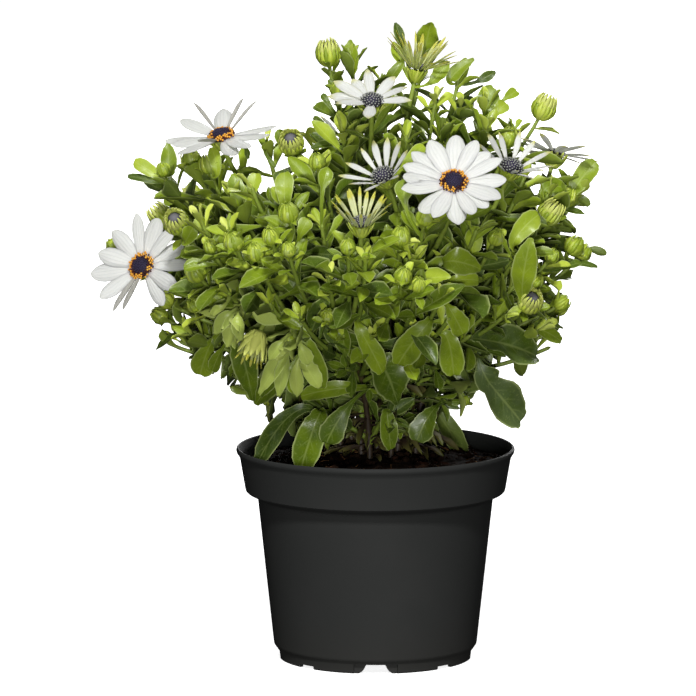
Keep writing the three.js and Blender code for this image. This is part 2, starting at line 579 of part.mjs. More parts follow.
// The ring of petals is one sheet: its outline runs out along each petal and back to the next, and each
// petal then rises from the bloom's plane. u is the way out along a petal, and w the way across it.
function petalRing({ petals, valley, length, breadth, rise, curl }, draw) {
  const outline = new THREE.Shape();
  const turnOf = (petal) => petal / petals * 2 * Math.PI;
  const halfTurn = Math.PI / petals;
  const flat = (turn, u, w) => [
    u * Math.cos(turn) - w * Math.sin(turn), u * Math.sin(turn) + w * Math.cos(turn),
  ];
  outline.moveTo(...flat(-halfTurn, valley, 0));
  for (let petal = 0; petal < petals; petal += 1) {
    const reach = valley + length * (0.9 + 0.16 * draw());
    const broad = breadth / 2 * (0.9 + 0.15 * draw());
    const shoulder = valley + (reach - valley) * PETAL_SHOULDER;
    outline.lineTo(...flat(turnOf(petal), shoulder, -broad));
    outline.lineTo(...flat(turnOf(petal), reach, 0));
    outline.lineTo(...flat(turnOf(petal), shoulder, broad));
    if (petal < petals - 1) outline.lineTo(...flat(turnOf(petal) + halfTurn, valley, 0));
  }
  outline.closePath();
  const sheet = new THREE.ExtrudeGeometry(outline, { depth: PETAL_THICKNESS, bevelEnabled: false });
  const positions = sheet.attributes.position;
  const foot = valley * Math.cos(halfTurn) + 0.01;
  for (let index = 0; index < positions.count; index += 1) {
    const x = positions.getX(index);
    const y = positions.getY(index);
    const petal = Math.round(Math.atan2(y, x) / (2 * halfTurn));
    const turn = petal * 2 * halfTurn;
    const u = x * Math.cos(turn) + y * Math.sin(turn);
    const w = y * Math.cos(turn) - x * Math.sin(turn);
    const out = Math.max(0, u - foot);
    const slope = THREE.MathUtils.degToRad(u > foot ? rise - curl * out : rise / 2);
    const through = positions.getZ(index);
    const across = flat(turn, u - out + out * Math.cos(slope) - through * Math.sin(slope), w);
    positions.setXYZ(index, ...across, out * Math.sin(slope) + through * Math.cos(slope));
  }
  return solidOf(sheet);
}

function discDome({ disc, dome }) {
  const base = PETAL_THICKNESS + GAP;
  const profile = [
    [0, base], [disc * 0.7, base], [disc, base + 0.35 * dome], [disc * 0.66, base + 0.85 * dome],
    [0, base + dome],
  ];
  return solidOf(turnedFlower(profile, DISC_SIDES));
}

function involucre({ valley }) {
  const rim = Math.min(valley, 5);
  const profile = [
    [0, -INVOLUCRE_DEPTH], [rim * 0.5, -INVOLUCRE_DEPTH + 0.8], [rim, -2.4], [rim * 0.96, -GAP], [0, -GAP],
  ];
  return solidOf(turnedFlower(profile, INVOLUCRE_SIDES));
}

function bloomFacing({ turn, lift }) {
  const around = THREE.MathUtils.degToRad(turn);
  const up = THREE.MathUtils.degToRad(lift);
  return new THREE.Vector3(Math.sin(around) * Math.cos(up), -Math.cos(around) * Math.cos(up), Math.sin(up));
}

function bloomOrigin(bloom) {
  return placeInBush(...bloom.at).addScaledVector(bloomFacing(bloom), -DISC_LEVEL);
}

function growBloom(bloom, index) {
  const kind = BLOOM_KINDS[bloom.kind];
  const facing = bloomFacing(bloom);
  const turn = new THREE.Quaternion().setFromUnitVectors(new THREE.Vector3(0, 0, 1), facing);
  const placing = new THREE.Matrix4().compose(bloomOrigin(bloom), turn, new THREE.Vector3(1, 1, 1));
  const ring = petalRing(kind, seededDraws(BLOOM_SEED + index));
  add(`bloom_${bloom.name}_petals`, ring.transform(placing.elements));
  add(`bloom_${bloom.name}_disc`, discDome(kind).transform(placing.elements));
  add(stemNode(plans[index].stem), involucre(kind).transform(placing.elements));
}

// ---- Shoots ----------------------------------------------------------------------------------------

// Where every shoot ends: the blooms' stalks first, then the tips. Each goes to its nearest main stem, and
// on a main stem the shoots that reach furthest from the soil leave it last.
function planShoots() {
  const stalks = BLOOMS.map((bloom) => {
    const direction = bloomFacing(bloom);
    const tip = bloomOrigin(bloom).addScaledVector(direction, -INVOLUCRE_DEPTH / 2);
    return { tip, direction, kind: 'stalk' };
  });
  const ends = [...FRONT_TIPS, ...backTips()].map(([across, height, outness, kind]) => {
    const tip = placeInBush(across, height, outness);
    return { tip, direction: tipDirection(tip, kind === 'droop' ? DROOP_LIFT : TIP_LIFT), kind };
  });
  const all = [...stalks, ...ends].map((plan, index) => ({ ...plan, index, stem: nearestStem(plan.tip) }));
  for (let stem = 0; stem < STEMS; stem += 1) {
    const own = all.filter((plan) => plan.stem === stem);
    own.sort((one, two) => stems[stem].foot.distanceTo(one.tip) - stems[stem].foot.distanceTo(two.tip));
    own.forEach((plan, order) => {
      plan.startShare = SHOOTS_FROM + (SHOOTS_TO - SHOOTS_FROM) * (order + 1) / own.length;
      plan.isLast = order === own.length - 1;
    });
  }
  return all;
}

// Every stalk, opening bud and hanging tip is built, and of the other shoots every second one and the
// last one on each main stem.
function isBuilt({ kind, index, isLast }) {
  return index % 2 === 0 || isLast || ['stalk', 'opening', 'droop'].includes(kind);
}

const shoots = [];

// A shoot with its bud, moved a little where the place is taken.
function growShoot({ tip, direction, kind, index, stem, startShare }) {
  const node = stemNode(stem);
  const steps = kind === 'stalk' || kind === 'droop' ? STALK_STEPS : SHOOT_STEPS;
  const size = BUD_SIZE[kind];
  for (const shift of size > 0 ? TIP_TRIES : TIP_TRIES.slice(0, 1)) {
    const end = tip.clone().add(new THREE.Vector3(...shift));
    if (size > 0 && !isClear(budSolid(end, direction, size + GAP), () => true)) continue;
    const curve = clearShoot(shootTo(stems[stem], end, direction, startShare), node, steps);
    if (curve === null) continue;
    add(node, tube(curve, SHOOT_RADIUS, SHOOT_SIDES, steps));
    if (size > 0) add(node, budSolid(end, direction, size));
    shoots.push({ node, curve, steps, bareLeaves: BARE_LEAVES[kind], seed: SHOOT_SEED + 7 * index });
    return;
  }
}

// ---- Large leaves ----------------------------------------------------------------------------------

// The points on the shoots and main stems that are nearest to a place.
function nearGrowth(place) {
  const points = [...shoots, ...mainStems()].flatMap(({ node, curve, steps }) => ROOT_SHARES.map((share) => {
    const point = middleOfTube(curve, share, steps);
    return { node, point, distance: point.distanceTo(place) };
  }));
  return points.sort((one, two) => one.distance - two.distance).slice(0, ROOTS_TRIED);
}

function mainStems() {
  return stems.map(({ curve }, index) => ({ node: stemNode(index), curve, steps: STEM_STEPS }));
}

function growLargeLeaf([rootAcross, rootHeight, tipAcross, tipHeight, outness, breadth], outline) {
  const roots = nearGrowth(placeInBush(rootAcross, rootHeight, outness * 0.9));
  for (const [push, lift] of LEAF_TRIES) {
    const tip = placeInBush(tipAcross, tipHeight, outness);
    tip.y += Math.sign(tip.y) * push;
    tip.z += lift;
    for (const { node, point } of roots) {
      const run = tip.clone().sub(point);
      const bend = point.clone().addScaledVector(run, 0.5);
      bend.z += 0.18 * run.length();
      const outwards = new THREE.Vector3(point.x - BUSH_CENTRE_X, point.y, 0).normalize();
      const face = outwards.multiplyScalar(0.5).add(new THREE.Vector3(0, -Math.sign(outness) * 0.35, 0.75));
      const midrib = new THREE.QuadraticBezierCurve3(point, bend, tip);
      if (addBlade(node, midrib, face, outline, breadth)) return;
    }
  }
}

// ---- The far side ----------------------------------------------------------------------------------

// What the front shows is repeated behind, turned about the bush's middle and shifted a little, without
// the narrower of the large leaves.
function backTips() {
  const draw = seededDraws(BACK_SEED);
  return FRONT_TIPS.filter(([, , outness]) => outness >= BACK_FROM).map(([across, height, outness, kind]) => {
    const shifts = [(draw() - 0.5) * BACK_SHIFT, (draw() - 0.5) * BACK_SHIFT];
    const place = 2 * BUSH_CENTRE_X - across + shifts[0];
    const depth = BACK_DEPTH + (1 - BACK_DEPTH) * outness;
    return [place, Math.min(height + shifts[1], lineAt(SKYLINE, place)), -depth, kind];
  });
}

function backLeaves() {
  const isRepeated = ([, , , , outness, breadth]) => outness >= 0.6 && breadth >= BACK_BREADTH;
  const mirrored = (across) => 2 * BUSH_CENTRE_X - across;
  return FRONT_LEAVES.filter(isRepeated).map(([root, rootHeight, tip, tipHeight, outness, breadth]) => (
    [mirrored(root), rootHeight, mirrored(tip), tipHeight, -outness, breadth]));
}

// ---- Putting it together ---------------------------------------------------------------------------

const stems = Array.from({ length: STEMS }, (unused, index) => mainStem(index));
const stemNode = (index) => `leafy_stem_${String(index + 1).padStart(2, '0')}`;
const plans = planShoots();

add('pot', potSolid());
add('soil', soilSolid());
stems.forEach((stem, index) => growMainStem(stem, stemNode(index)));
BLOOMS.forEach(growBloom);
FRONT_LOBED_LEAVES.forEach((leaf) => growLargeLeaf(leaf, LOBED_LEAF));
plans.filter(isBuilt).forEach(growShoot);
[...FRONT_LEAVES, ...backLeaves()].forEach((leaf) => growLargeLeaf(leaf, LARGE_LEAF));
for (const level of LEAVES_BUILT) {
  for (const shoot of shoots) {
    const leaves = leavesOf(shoot.curve, seededDraws(shoot.seed), LEAVES_COUNTED);
    const leaf = leaves.find(({ index }) => index === level);
    const isShown = level >= shoot.bareLeaves && (level <= LEAVES_BEHIND || shoot.curve.v2.y < FRONT_FROM);
    if (leaf !== undefined && isShown) growLeaf(shoot, leaf);
  }
}

const NODE_FINISHES = [
  [/^pot$/, POT_FINISH], [/^soil$/, SOIL_FINISH], [/_petals$/, PETAL_FINISH], [/_disc$/, DISC_FINISH],
  [/^leafy_stem/, LEAF_FINISH],
];
const group = new THREE.Group();
for (const node of new Set(built.map((piece) => piece.node))) {
  const solids = built.filter((piece) => piece.node === node).map(({ solid }) => solid);
  const [, material] = NODE_FINISHES.find(([pattern]) => pattern.test(node));
  group.add(meshOf(node, joined(solids).asOriginal().simplify(TOLERANCE), material));
}

export default group;
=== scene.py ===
import math
from dataclasses import dataclass
from functools import cached_property
from typing import NamedTuple

import bmesh
import bpy
from mathutils import Matrix, Vector, noise


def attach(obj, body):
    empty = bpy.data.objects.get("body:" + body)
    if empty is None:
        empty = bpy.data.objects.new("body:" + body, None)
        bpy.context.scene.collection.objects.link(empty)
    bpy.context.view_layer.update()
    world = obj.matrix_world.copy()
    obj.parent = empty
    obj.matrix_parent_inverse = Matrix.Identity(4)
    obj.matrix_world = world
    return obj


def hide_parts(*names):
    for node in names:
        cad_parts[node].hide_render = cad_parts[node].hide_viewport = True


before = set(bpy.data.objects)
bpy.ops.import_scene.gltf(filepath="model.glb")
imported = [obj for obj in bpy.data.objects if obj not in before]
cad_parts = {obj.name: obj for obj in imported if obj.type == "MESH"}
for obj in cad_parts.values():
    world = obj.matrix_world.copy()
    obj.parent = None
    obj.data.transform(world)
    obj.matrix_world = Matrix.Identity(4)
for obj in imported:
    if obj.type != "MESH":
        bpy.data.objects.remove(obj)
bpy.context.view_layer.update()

# An African daisy in a nursery pot. Sizes are in millimetres until a finished mesh is scaled to metres.
# The origin is the centre of the pot's underside, +Z is up and -Y is the front.
MM = 0.001
UP = Vector((0, 0, 1))
ASIDE = Vector((1, 0, 0))


def clamped(value, low=0.0, high=1.0):
    return max(low, min(high, value))


def polar(radius, angle, height=0.0):
    return Vector((radius * math.cos(angle), radius * math.sin(angle), height))


def read_off(table, place, column=1):
    """A straight-line reading of a table's column, at a place given in its first column."""
    for low, high in zip(table, table[1:]):
        if place < high[0]:
            return low[column] + (high[column] - low[column]) * max(0, place - low[0]) / (high[0] - low[0])
    return table[-1][column]


def mesh_of(name, body):
    mesh = bpy.data.meshes.new(name)
    body.to_mesh(mesh)
    body.free()
    return mesh


def in_scene(name, data):
    made = bpy.data.objects.new(name, data)
    bpy.context.collection.objects.link(made)
    return made


# ---- Camera, floor and light (in metres) -------------------------------------------------------------

LOOK_AT = Vector((-12.9, 0, 146.8)) * MM
LOOK_FROM = 3.2
LOOK_DOWN = math.radians(8.5)
VIEW_WIDTH = 0.3266
SENSOR = 36
FLOOR_REACH = 12
FLOOR_GLOW = 0.85
ROOM_SIDE_LIGHT = 0.03
ROOM_TOP_LIGHT = 0.26
# How steeply a ray rises where the room's side light ends, and where its top light is full.
ROOM_SIDE_RISE = 0.25
ROOM_TOP_RISE = 0.95
# Place, size and power of each light.
LIGHTS = {
    "key": ((-0.15, -1.7, 2.0), 0.3, 44),
    "front": ((0.0, -2.8, 0.25), 0.4, 39),
    "back": ((0.5, 2.3, 0.9), 1.2, 34),
}


def aimed(place):
    """The turn that makes a camera or a light at a place look at the plant."""
    return (LOOK_AT - place).to_track_quat("-Z", "Y").to_euler()


def set_camera():
    data = bpy.data.cameras.new("camera")
    data.sensor_width = SENSOR
    data.lens = SENSOR * LOOK_FROM / VIEW_WIDTH
    camera = in_scene("camera", data)
    camera.location = LOOK_AT + LOOK_FROM * Vector((0, -math.cos(LOOK_DOWN), math.sin(LOOK_DOWN)))
    camera.rotation_euler = aimed(camera.location)
    bpy.context.scene.camera = camera


def set_room():
    """A white room: bright to look at, and a soft dim light from above for all that stands in it."""
    world = bpy.data.worlds.new("studio")
    world.use_nodes = True
    nodes, links = world.node_tree.nodes, world.node_tree.links
    ray = nodes.new("ShaderNodeLightPath")
    towards = nodes.new("ShaderNodeTexCoord")
    parts = nodes.new("ShaderNodeSeparateXYZ")
    room = nodes.new("ShaderNodeMapRange")
    room.inputs["From Min"].default_value = ROOM_SIDE_RISE
    room.inputs["From Max"].default_value = ROOM_TOP_RISE
    room.inputs["To Min"].default_value = ROOM_SIDE_LIGHT
    room.inputs["To Max"].default_value = ROOM_TOP_LIGHT
    strength = nodes.new("ShaderNodeMix")
    strength.inputs["B"].default_value = 1.0
    links.new(towards.outputs["Generated"], parts.inputs[0])
    links.new(parts.outputs["Z"], room.inputs["Value"])
    links.new(room.outputs["Result"], strength.inputs["A"])
    links.new(ray.outputs["Is Camera Ray"], strength.inputs["Factor"])
    links.new(strength.outputs["Result"], nodes["Background"].inputs["Strength"])
    nodes["Background"].inputs["Color"].default_value = (1, 1, 1, 1)
    bpy.context.scene.world = world
    bpy.context.scene.view_settings.view_transform = "Standard"


def set_lights():
    for name, (place, size, power) in LIGHTS.items():
        data = bpy.data.lights.new(name, "AREA")
        data.size = size
        data.energy = power
        light = in_scene(name, data)
        light.location = place
        light.rotation_euler = aimed(Vector(place))


def make_floor():
    body = bmesh.new()
    bmesh.ops.create_grid(body, x_segments=1, y_segments=1, size=FLOOR_REACH)
    floor = in_scene("floor", mesh_of("floor", body))
    floor.data.materials.append(floor_finish())
    floor.visible_diffuse = False
    floor.visible_glossy = False


# ---- Materials ---------------------------------------------------------------------------------------

def tint(red, green, blue):
    """A colour given as 0 to 255, as the shader wants it."""
    linear = [channel / 255 / 12.92 if channel <= 10 else ((channel / 255 + 0.055) / 1.055) ** 2.4
              for channel in (red, green, blue)]
    return (*linear, 1)


class Finish:
    """A material with one Principled shader, and short names for the nodes that feed it."""

    def __init__(self, name):
        self.material = bpy.data.materials.new(name)
        self.material.use_nodes = True
        self.tree = self.material.node_tree
        self.shader = self.tree.nodes["Principled BSDF"]

    def node(self, kind, **values):
        made = self.tree.nodes.new(f"ShaderNode{kind}")
        for key, value in values.items():
            if key in made.inputs:
                self.feed(made.inputs[key], value)
            else:
                setattr(made, key, value)
        return made

    def feed(self, socket, value):
        if isinstance(value, bpy.types.NodeSocket):
            self.tree.links.new(value, socket)
        else:
            socket.default_value = value

    def set(self, **values):
        for key, value in values.items():
            self.feed(self.shader.inputs[key.replace("_", " ")], value)

    def sum(self, operation, *values):
        made = self.node("Math", operation=operation)
        for socket, value in zip(made.inputs, values):
            self.feed(socket, value)
        return made.outputs[0]

    def step(self, value, low, high, low_result=0.0, high_result=1.0):
        made = self.node("MapRange", interpolation_type="SMOOTHSTEP")
        for socket, given in zip(made.inputs, (value, low, high, low_result, high_result)):
            self.feed(socket, given)
        return made.outputs[0]

    def mix(self, share, one, other):
        made = self.node("Mix", data_type="RGBA")
        for order, value in ((0, share), (6, one), (7, other)):
            self.feed(made.inputs[order], value)
        return made.outputs[2]

    def over(self, color, mask, strength, other):
        """The colour, with another over it where the mask is, by a strength from 0 to 1."""
        return self.mix(self.sum("MULTIPLY", mask, strength), color, other)

    def ramp(self, value, *stops):
        made = self.node("ValToRGB")
        elements = made.color_ramp.elements
        while len(elements) < len(stops):
            elements.new(0.5)
        for element, (place, color) in zip(elements, stops):
            element.position = place
            element.color = color
        self.feed(made.inputs[0], value)
        return made.outputs[0]

    def places(self):
        return self.node("TexCoord").outputs["Object"]

    def noise(self, scale, detail=3.0, roughness=0.5):
        made = self.node("TexNoise", Vector=self.places(), Scale=scale, Detail=detail, Roughness=roughness)
        return made.outputs["Fac"]

    def growth(self):
        """What each corner knows: share along, share across, age and a tone of its own, and which side."""
        color = self.node("Attribute", attribute_name="growth")
        parts = self.node("SeparateColor", Color=color.outputs["Color"])
        under = self.node("Attribute", attribute_name="under").outputs["Fac"]
        return (*parts.outputs, color.outputs["Alpha"], under)

    def from_midline(self, across):
        """0 at the midline and 1 at both margins."""
        return self.sum("ABSOLUTE", self.sum("MULTIPLY_ADD", across, 2.0, -1.0))

    def bump(self, height, strength, distance):
        made = self.node("Bump", Height=height, Strength=strength, Distance=distance)
        self.set(Normal=made.outputs[0])


def pot_finish():
    """Black moulded plastic with a fine grain, faint clouds of dust, and a duller foot."""
    finish = Finish("black_plastic")
    grain = finish.noise(2600.0, 2.0)
    cloud = finish.noise(24.0, 4.0)
    height = finish.node("SeparateXYZ", Vector=finish.places()).outputs["Z"]
    color = finish.over(tint(50, 51, 50), finish.step(cloud, 0.45, 0.75), 0.35, tint(56, 56, 55))
    color = finish.over(color, finish.step(height, 0.0, 0.03, 1.0, 0.0), 0.25, tint(58, 56, 52))
    finish.set(Base_Color=color, Roughness=finish.step(cloud, 0.3, 0.8, 0.52, 0.64), Specular_IOR_Level=0.06)
    finish.bump(grain, 0.12, 0.0002)
    return finish.material


def peat_finish(name, dark, light, red):
    finish = Finish(name)
    coarse = finish.noise(420.0, 5.0, 0.65)
    patch = finish.step(finish.noise(130.0, 3.0), 0.55, 0.75, 0.0, 0.45)
    color = finish.ramp(coarse, (0.3, dark), (0.62, light), (0.8, red))
    finish.set(Base_Color=finish.mix(patch, color, red), Roughness=0.95, Specular_IOR_Level=0.05)
    finish.bump(coarse, 0.7, 0.0012)
    return finish.material


def leaf_finish():
    """Yellow-green when young, deep green with age, brown when dry, with pale ribs, specks and margins.
    Leaves inside the bush are set older and darker as painted shade, low ones partly so.
    """
    finish = Finish("leaf")
    along, across, age, tone, under = finish.growth()
    side = finish.from_midline(across)
    blotch = finish.noise(150.0, 3.0)
    older = finish.sum("ADD", age, finish.sum("MULTIPLY_ADD", blotch, 0.3, -0.15))
    color = finish.ramp(
        older, (0.0, tint(236, 242, 126)), (0.2, tint(204, 220, 76)), (0.45, tint(150, 172, 38)),
        (0.8, tint(72, 94, 10)), (0.92, tint(62, 82, 26)), (1.0, tint(84, 100, 68)))
    color = finish.over(color, tone, 0.34, tint(100, 124, 16))
    color = finish.mix(finish.step(tone, 0.95, 0.98, 0.0, 0.5), color, tint(184, 198, 116))
    slant = finish.sum("SUBTRACT", finish.sum("MULTIPLY", along, 46.0), finish.sum("MULTIPLY", side, 9.0))
    vein = finish.step(finish.sum("SINE", slant), 0.75, 1.0)
    vein = finish.sum("MULTIPLY", vein, finish.step(side, 0.05, 0.8, 0.22, 0.0))
    rib = finish.step(side, 0.02, 0.11, 0.4, 0.0)
    speck = finish.step(finish.noise(1300.0, 2.0), 0.58, 0.72, 0.0, 0.3)
    pale = finish.sum("MAXIMUM", finish.sum("MAXIMUM", rib, vein), speck)
    color = finish.over(color, pale, 0.5, tint(206, 220, 132))
    color = finish.over(color, finish.step(side, 0.84, 1.0, 0.0, 1.0), 0.6, tint(208, 220, 148))
    color = finish.over(color, under, 0.45, tint(136, 152, 76))
    dried = finish.step(finish.sum("ADD", age, finish.sum("MULTIPLY", tone, 0.2)), 1.15, 1.3, 0.0, 0.85)
    finish.set(Base_Color=finish.mix(dried, color, tint(62, 42, 26)))
    finish.set(Roughness=finish.step(blotch, 0.3, 0.7, 0.3, 0.46), Specular_IOR_Level=0.4)
    finish.bump(finish.sum("SUBTRACT", finish.sum("MULTIPLY", blotch, 0.4), pale), 0.35, 0.0004)
    return finish.material


def stem_finish():
    """Green at the tips, and brown and streaked towards the foot of an old stem."""
    finish = Finish("stem")
    along, _, age, _, _ = finish.growth()
    streak = finish.noise(500.0, 3.0)
    older = finish.sum("MULTIPLY", age, finish.step(along, 0.2, 1.0, 1.0, 0.45))
    color = finish.ramp(
        older, (0.0, tint(152, 172, 66)), (0.3, tint(112, 134, 42)), (0.6, tint(86, 84, 34)),
        (1.0, tint(42, 30, 19)))
    finish.set(Base_Color=finish.mix(finish.step(streak, 0.4, 0.7, 0.0, 0.3), color, tint(84, 72, 38)))
    finish.set(Roughness=0.55)
    finish.bump(streak, 0.3, 0.0004)
    return finish.material


def petal_finish():
    """White and grooved, with painted shade greying the grooves, grey-lilac behind. Young petals are olive
    with yellow-green tips; dry rolled ones are grey, partly as painted shade.
    """
    finish = Finish("petal")
    along, across, age, tone, under = finish.growth()
    side = finish.from_midline(across)
    groove = finish.step(finish.sum("SINE", finish.sum("MULTIPLY", across, 34.0)), 0.0, 1.0)
    fibre = finish.step(finish.noise(900.0, 2.0), 0.5, 0.8, 0.0, 0.2)
    # The grooves are painted a little grey as shade in them; the ridges and the bump give their relief.
    color = finish.over(tint(238, 239, 231), groove, 0.16, tint(208, 211, 205))
    color = finish.mix(fibre, color, tint(214, 216, 210))
    color = finish.over(color, under, 0.85, finish.mix(groove, tint(222, 222, 220), tint(172, 169, 184)))
    full = finish.step(age, 0.4, 0.7, 1.0, 0.0)
    color = finish.over(color, full, finish.step(along, 0.1, 0.24, 0.35, 0.0), tint(150, 128, 156))
    olive = finish.mix(under, tint(206, 214, 124), tint(176, 190, 88))
    color = finish.mix(finish.step(age, 0.6, 0.95, 0.0, 0.9), color, olive)
    # Rolled petals, whose tone is 2, turn grey: partly their dry colour, partly painted shade.
    color = finish.mix(finish.step(tone, 1.1, 1.3, 0.0, 0.8), color, tint(132, 129, 120))
    tip = finish.step(finish.sum("MULTIPLY_ADD", age, 0.3, along), 0.86, 1.1, 0.0, 1.5)
    rim = finish.step(side, 0.6, 1.0, 0.0, 0.5)
    green = finish.sum("MULTIPLY", finish.sum("MAXIMUM", tip, rim), age)
    finish.set(Base_Color=finish.mix(finish.sum("MINIMUM", green, 1.0), color, tint(212, 208, 74)))
    finish.set(Roughness=0.5, Specular_IOR_Level=0.35)
    finish.set(Subsurface_Weight=0.6, Subsurface_Scale=0.0015, Subsurface_Radius=(1.0, 0.98, 0.92))
    finish.bump(groove, 0.3, 0.0004)
    return finish.material


def floret_finish():
    """Violet-blue florets, then dark red ones, some with orange pollen. The tone makes a young disc slate."""
    finish = Finish("floret")
    along, _, age, tone, _ = finish.growth()
    inner = finish.ramp(along, (0.0, tint(8, 5, 12)), (0.6, tint(22, 17, 36)), (1.0, tint(54, 46, 78)))
    dark = finish.ramp(along, (0.0, tint(18, 5, 8)), (0.6, tint(44, 12, 14)), (1.0, tint(84, 28, 20)))
    pollen = finish.ramp(along, (0.0, tint(40, 12, 12)), (0.5, tint(120, 48, 16)), (0.66, tint(220, 136, 34)),
                         (1.0, tint(244, 188, 70)))
    slate = finish.ramp(along, (0.0, tint(30, 30, 34)), (0.6, tint(66, 68, 74)), (1.0, tint(168, 170, 160)))
    color = finish.mix(finish.step(age, 0.2, 0.3), inner, dark)
    color = finish.mix(finish.step(age, 0.7, 0.8), color, pollen)
    finish.set(Base_Color=finish.mix(finish.step(tone, 0.45, 0.55), color, slate), Roughness=0.7)
    return finish.material


def floor_finish():
    finish = Finish("floor")
    patch = finish.noise(3.0, 2.0)
    finish.set(Base_Color=finish.mix(patch, tint(250, 250, 250), tint(248, 248, 248)), Roughness=0.9)
    finish.set(Emission_Color=tint(255, 255, 255), Emission_Strength=FLOOR_GLOW)
    return finish.material


# ---- Making and finishing pieces ---------------------------------------------------------------------

# A crease sharper than this shows as an edge.
FOLD_ANGLE = math.radians(85)
POT_FOLD_ANGLE = math.radians(32)
ORDER_STEP = 1e5


def finished(name, body, materials, nodes=(), smooth=True):
    """Turns a bmesh in millimetres into a piece that rides on the frame and stands for its CAD nodes."""
    bmesh.ops.scale(body, vec=(MM, MM, MM), verts=body.verts)
    for face in body.faces:
        face.smooth = smooth
    piece = in_scene(name, mesh_of(name, body))
    if smooth:
        piece.data.set_sharp_from_angle(angle=FOLD_ANGLE)
    for material in materials:
        piece.data.materials.append(material)
    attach(piece, "root")
    if nodes:
        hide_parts(*nodes)
    return piece


def place_number(place):
    return (place.z * ORDER_STEP + place.y) * ORDER_STEP + place.x


def put_in_order(body):
    """Sorts a body's corners and faces by their place, so that each run gives the same mesh."""
    body.verts.sort(key=lambda vert: place_number(vert.co))
    body.faces.sort(key=lambda face: place_number(face.calc_center_median()))


def seeded_draws(seed):
    """Numbers from 0 to 1 that are the same in every run."""
    state = seed

    def draw():
        nonlocal state
        state = state * 16807 % 2147483647
        return state / 2147483647
    draw()
    draw()
    return draw


class Path:
    """A Bezier curve. Its own share runs unevenly, so a share of its length is measured in steps."""
    STEPS = 48

    def __init__(self, *points):
        self.points = [Vector(point) for point in points]

    @cached_property
    def reaches(self):
        """The length up to each step."""
        places = [self.points[0]] + [self.at(step / self.STEPS) for step in range(1, self.STEPS + 1)]
        reaches = [0.0]
        for place, following in zip(places, places[1:]):
            reaches.append(reaches[-1] + (following - place).length)
        return reaches

    @property
    def length(self):
        return self.reaches[-1]

    def halved(self, share):
        points = self.points
        while len(points) > 2:
            points = [one.lerp(other, share) for one, other in zip(points, points[1:])]
        return points

    def at(self, share):
        one, other = self.halved(share)
        return one.lerp(other, share)

    def heading(self, share):
        one, other = self.halved(share)
        return (other - one).normalized()

    def measured(self, share):
        """The curve's own share at which a share of the length is reached."""
        wanted = share * self.length
        step = next((step for step, reach in enumerate(self.reaches) if reach >= wanted), self.STEPS)
        if step == 0:
            return 0.0
        low, high = self.reaches[step - 1:step + 1]
        return (step - 1 + (wanted - low) / max(high - low, 1e-9)) / self.STEPS

    def spot(self, share):
        """The place at a share of the length."""
        return self.at(self.measured(share))


class Blank:
    """A round body whose corners are later laid along a path: for each, its ring and place round the ring."""

    def __init__(self, sides, rings, finish=0):
        self.shares = [(1 - math.cos(math.pi * ring / rings)) / 2 for ring in range(rings + 1)]
        body = bmesh.new()
        bmesh.ops.create_uvsphere(body, u_segments=sides, v_segments=rings, radius=1)
        for face in body.faces:
            face.material_index = finish
        put_in_order(body)
        self.mesh = mesh_of("blank", body)
        self.corners = []
        for vert in self.mesh.vertices:
            x, y, z = vert.co
            reach = math.hypot(x, y)
            ring = round(math.acos(clamped(-z, -1.0)) / math.pi * rings)
            pole = ring in (0, rings)
            self.corners.append((ring, 0.0 if pole else x / reach, 0.0 if pole else y / reach))


class Growth:
    """A mesh of everything on one stem, with what each corner knows for its material."""

    def __init__(self):
        self.body = bmesh.new()
        self.layer = self.body.verts.layers.float_color.new("growth")
        self.under = self.body.verts.layers.float.new("under")

    def lay(self, blank, path, face, section, age=0.5, tone=0.5, twist=0.0):
        """Lays a blank along a path. section gives the sideways, upward and onward reach of a corner."""
        rings = []
        for share in blank.shares:
            heading = path.heading(share)
            across = face.cross(heading).normalized()
            up = heading.cross(across)
            if twist:
                turn = Matrix.Rotation(twist * share, 3, heading)
                across = turn @ across
                up = turn @ up
            rings.append((share, path.at(share), across, up))
        made = len(self.body.verts)
        self.body.from_mesh(blank.mesh)
        self.body.verts.ensure_lookup_table()
        for vert, (ring, aside, upward) in zip(self.body.verts[made:], blank.corners):
            share, centre, across, up = rings[ring]
            out, rise, *onward = section(share, aside, upward)
            vert.co = centre + across * out + up * rise
            if onward:
                vert.co += up.cross(across) * -onward[0]
            vert[self.layer] = (share, aside / 2 + 0.5, age, tone)
            vert[self.under] = 0.5 - 0.5 * upward


# ---- The bush: where everything grows ----------------------------------------------------------------

STEMS = 16
GOLDEN_ANGLE = math.radians(137.508)
GOLDEN_SHARE = 0.618
CROWN_RADIUS = 21
CROWN_DEPTH = 4
STEM_RISE = 34
STEM_FOOT_RISE = 39
FORK_SPREAD = 62
FORK_TOP_HEIGHT = 232
FORK_HEIGHT_DROP = 72
BUSH_CENTRE_X = -6
BUSH_HEART = Vector((BUSH_CENTRE_X, 0, 150))
BUSH_ROUNDNESS = 0.9
# The bush's half width at each height.
BUSH_OUTLINE = [
    (88, 58), (122, 66), (146, 82), (165, 102), (198, 118), (217, 110), (236, 100), (255, 84), (274, 52),
    (300, 34),
]
# A place farther back seems higher, by this share of its distance.
SIGHT_RISE = 0.15
# How high the far side may reach at each place across, so that it stays behind what the front shows.
SKYLINE = [
    (-125, 188), (-100, 214), (-64, 220), (-32, 226), (-25, 266), (38, 262), (52, 244), (68, 230),
    (92, 222), (112, 190),
]
# How far the small leaves reach to the left and to the right at each height, seen from the front.
LEAF_EDGES = [
    (100, -50, 36), (112, -54, 44), (124, -62, 50), (136, -84, 60), (144, -88, 70), (152, -98, 82),
    (160, -106, 88), (172, -122, 91), (186, -127, 97), (200, -133, 102), (214, -131, 99), (226, -125, 104),
    (238, -118, 104), (246, -62, 92), (256, -50, 74), (262, -27, 68), (275, -27, 60), (290, -24, 40),
    (305, -24, 30),
]
# A place as across and height, and the radius round it, where the background shows through.
CLEARINGS = [(-53, 231, 9)]

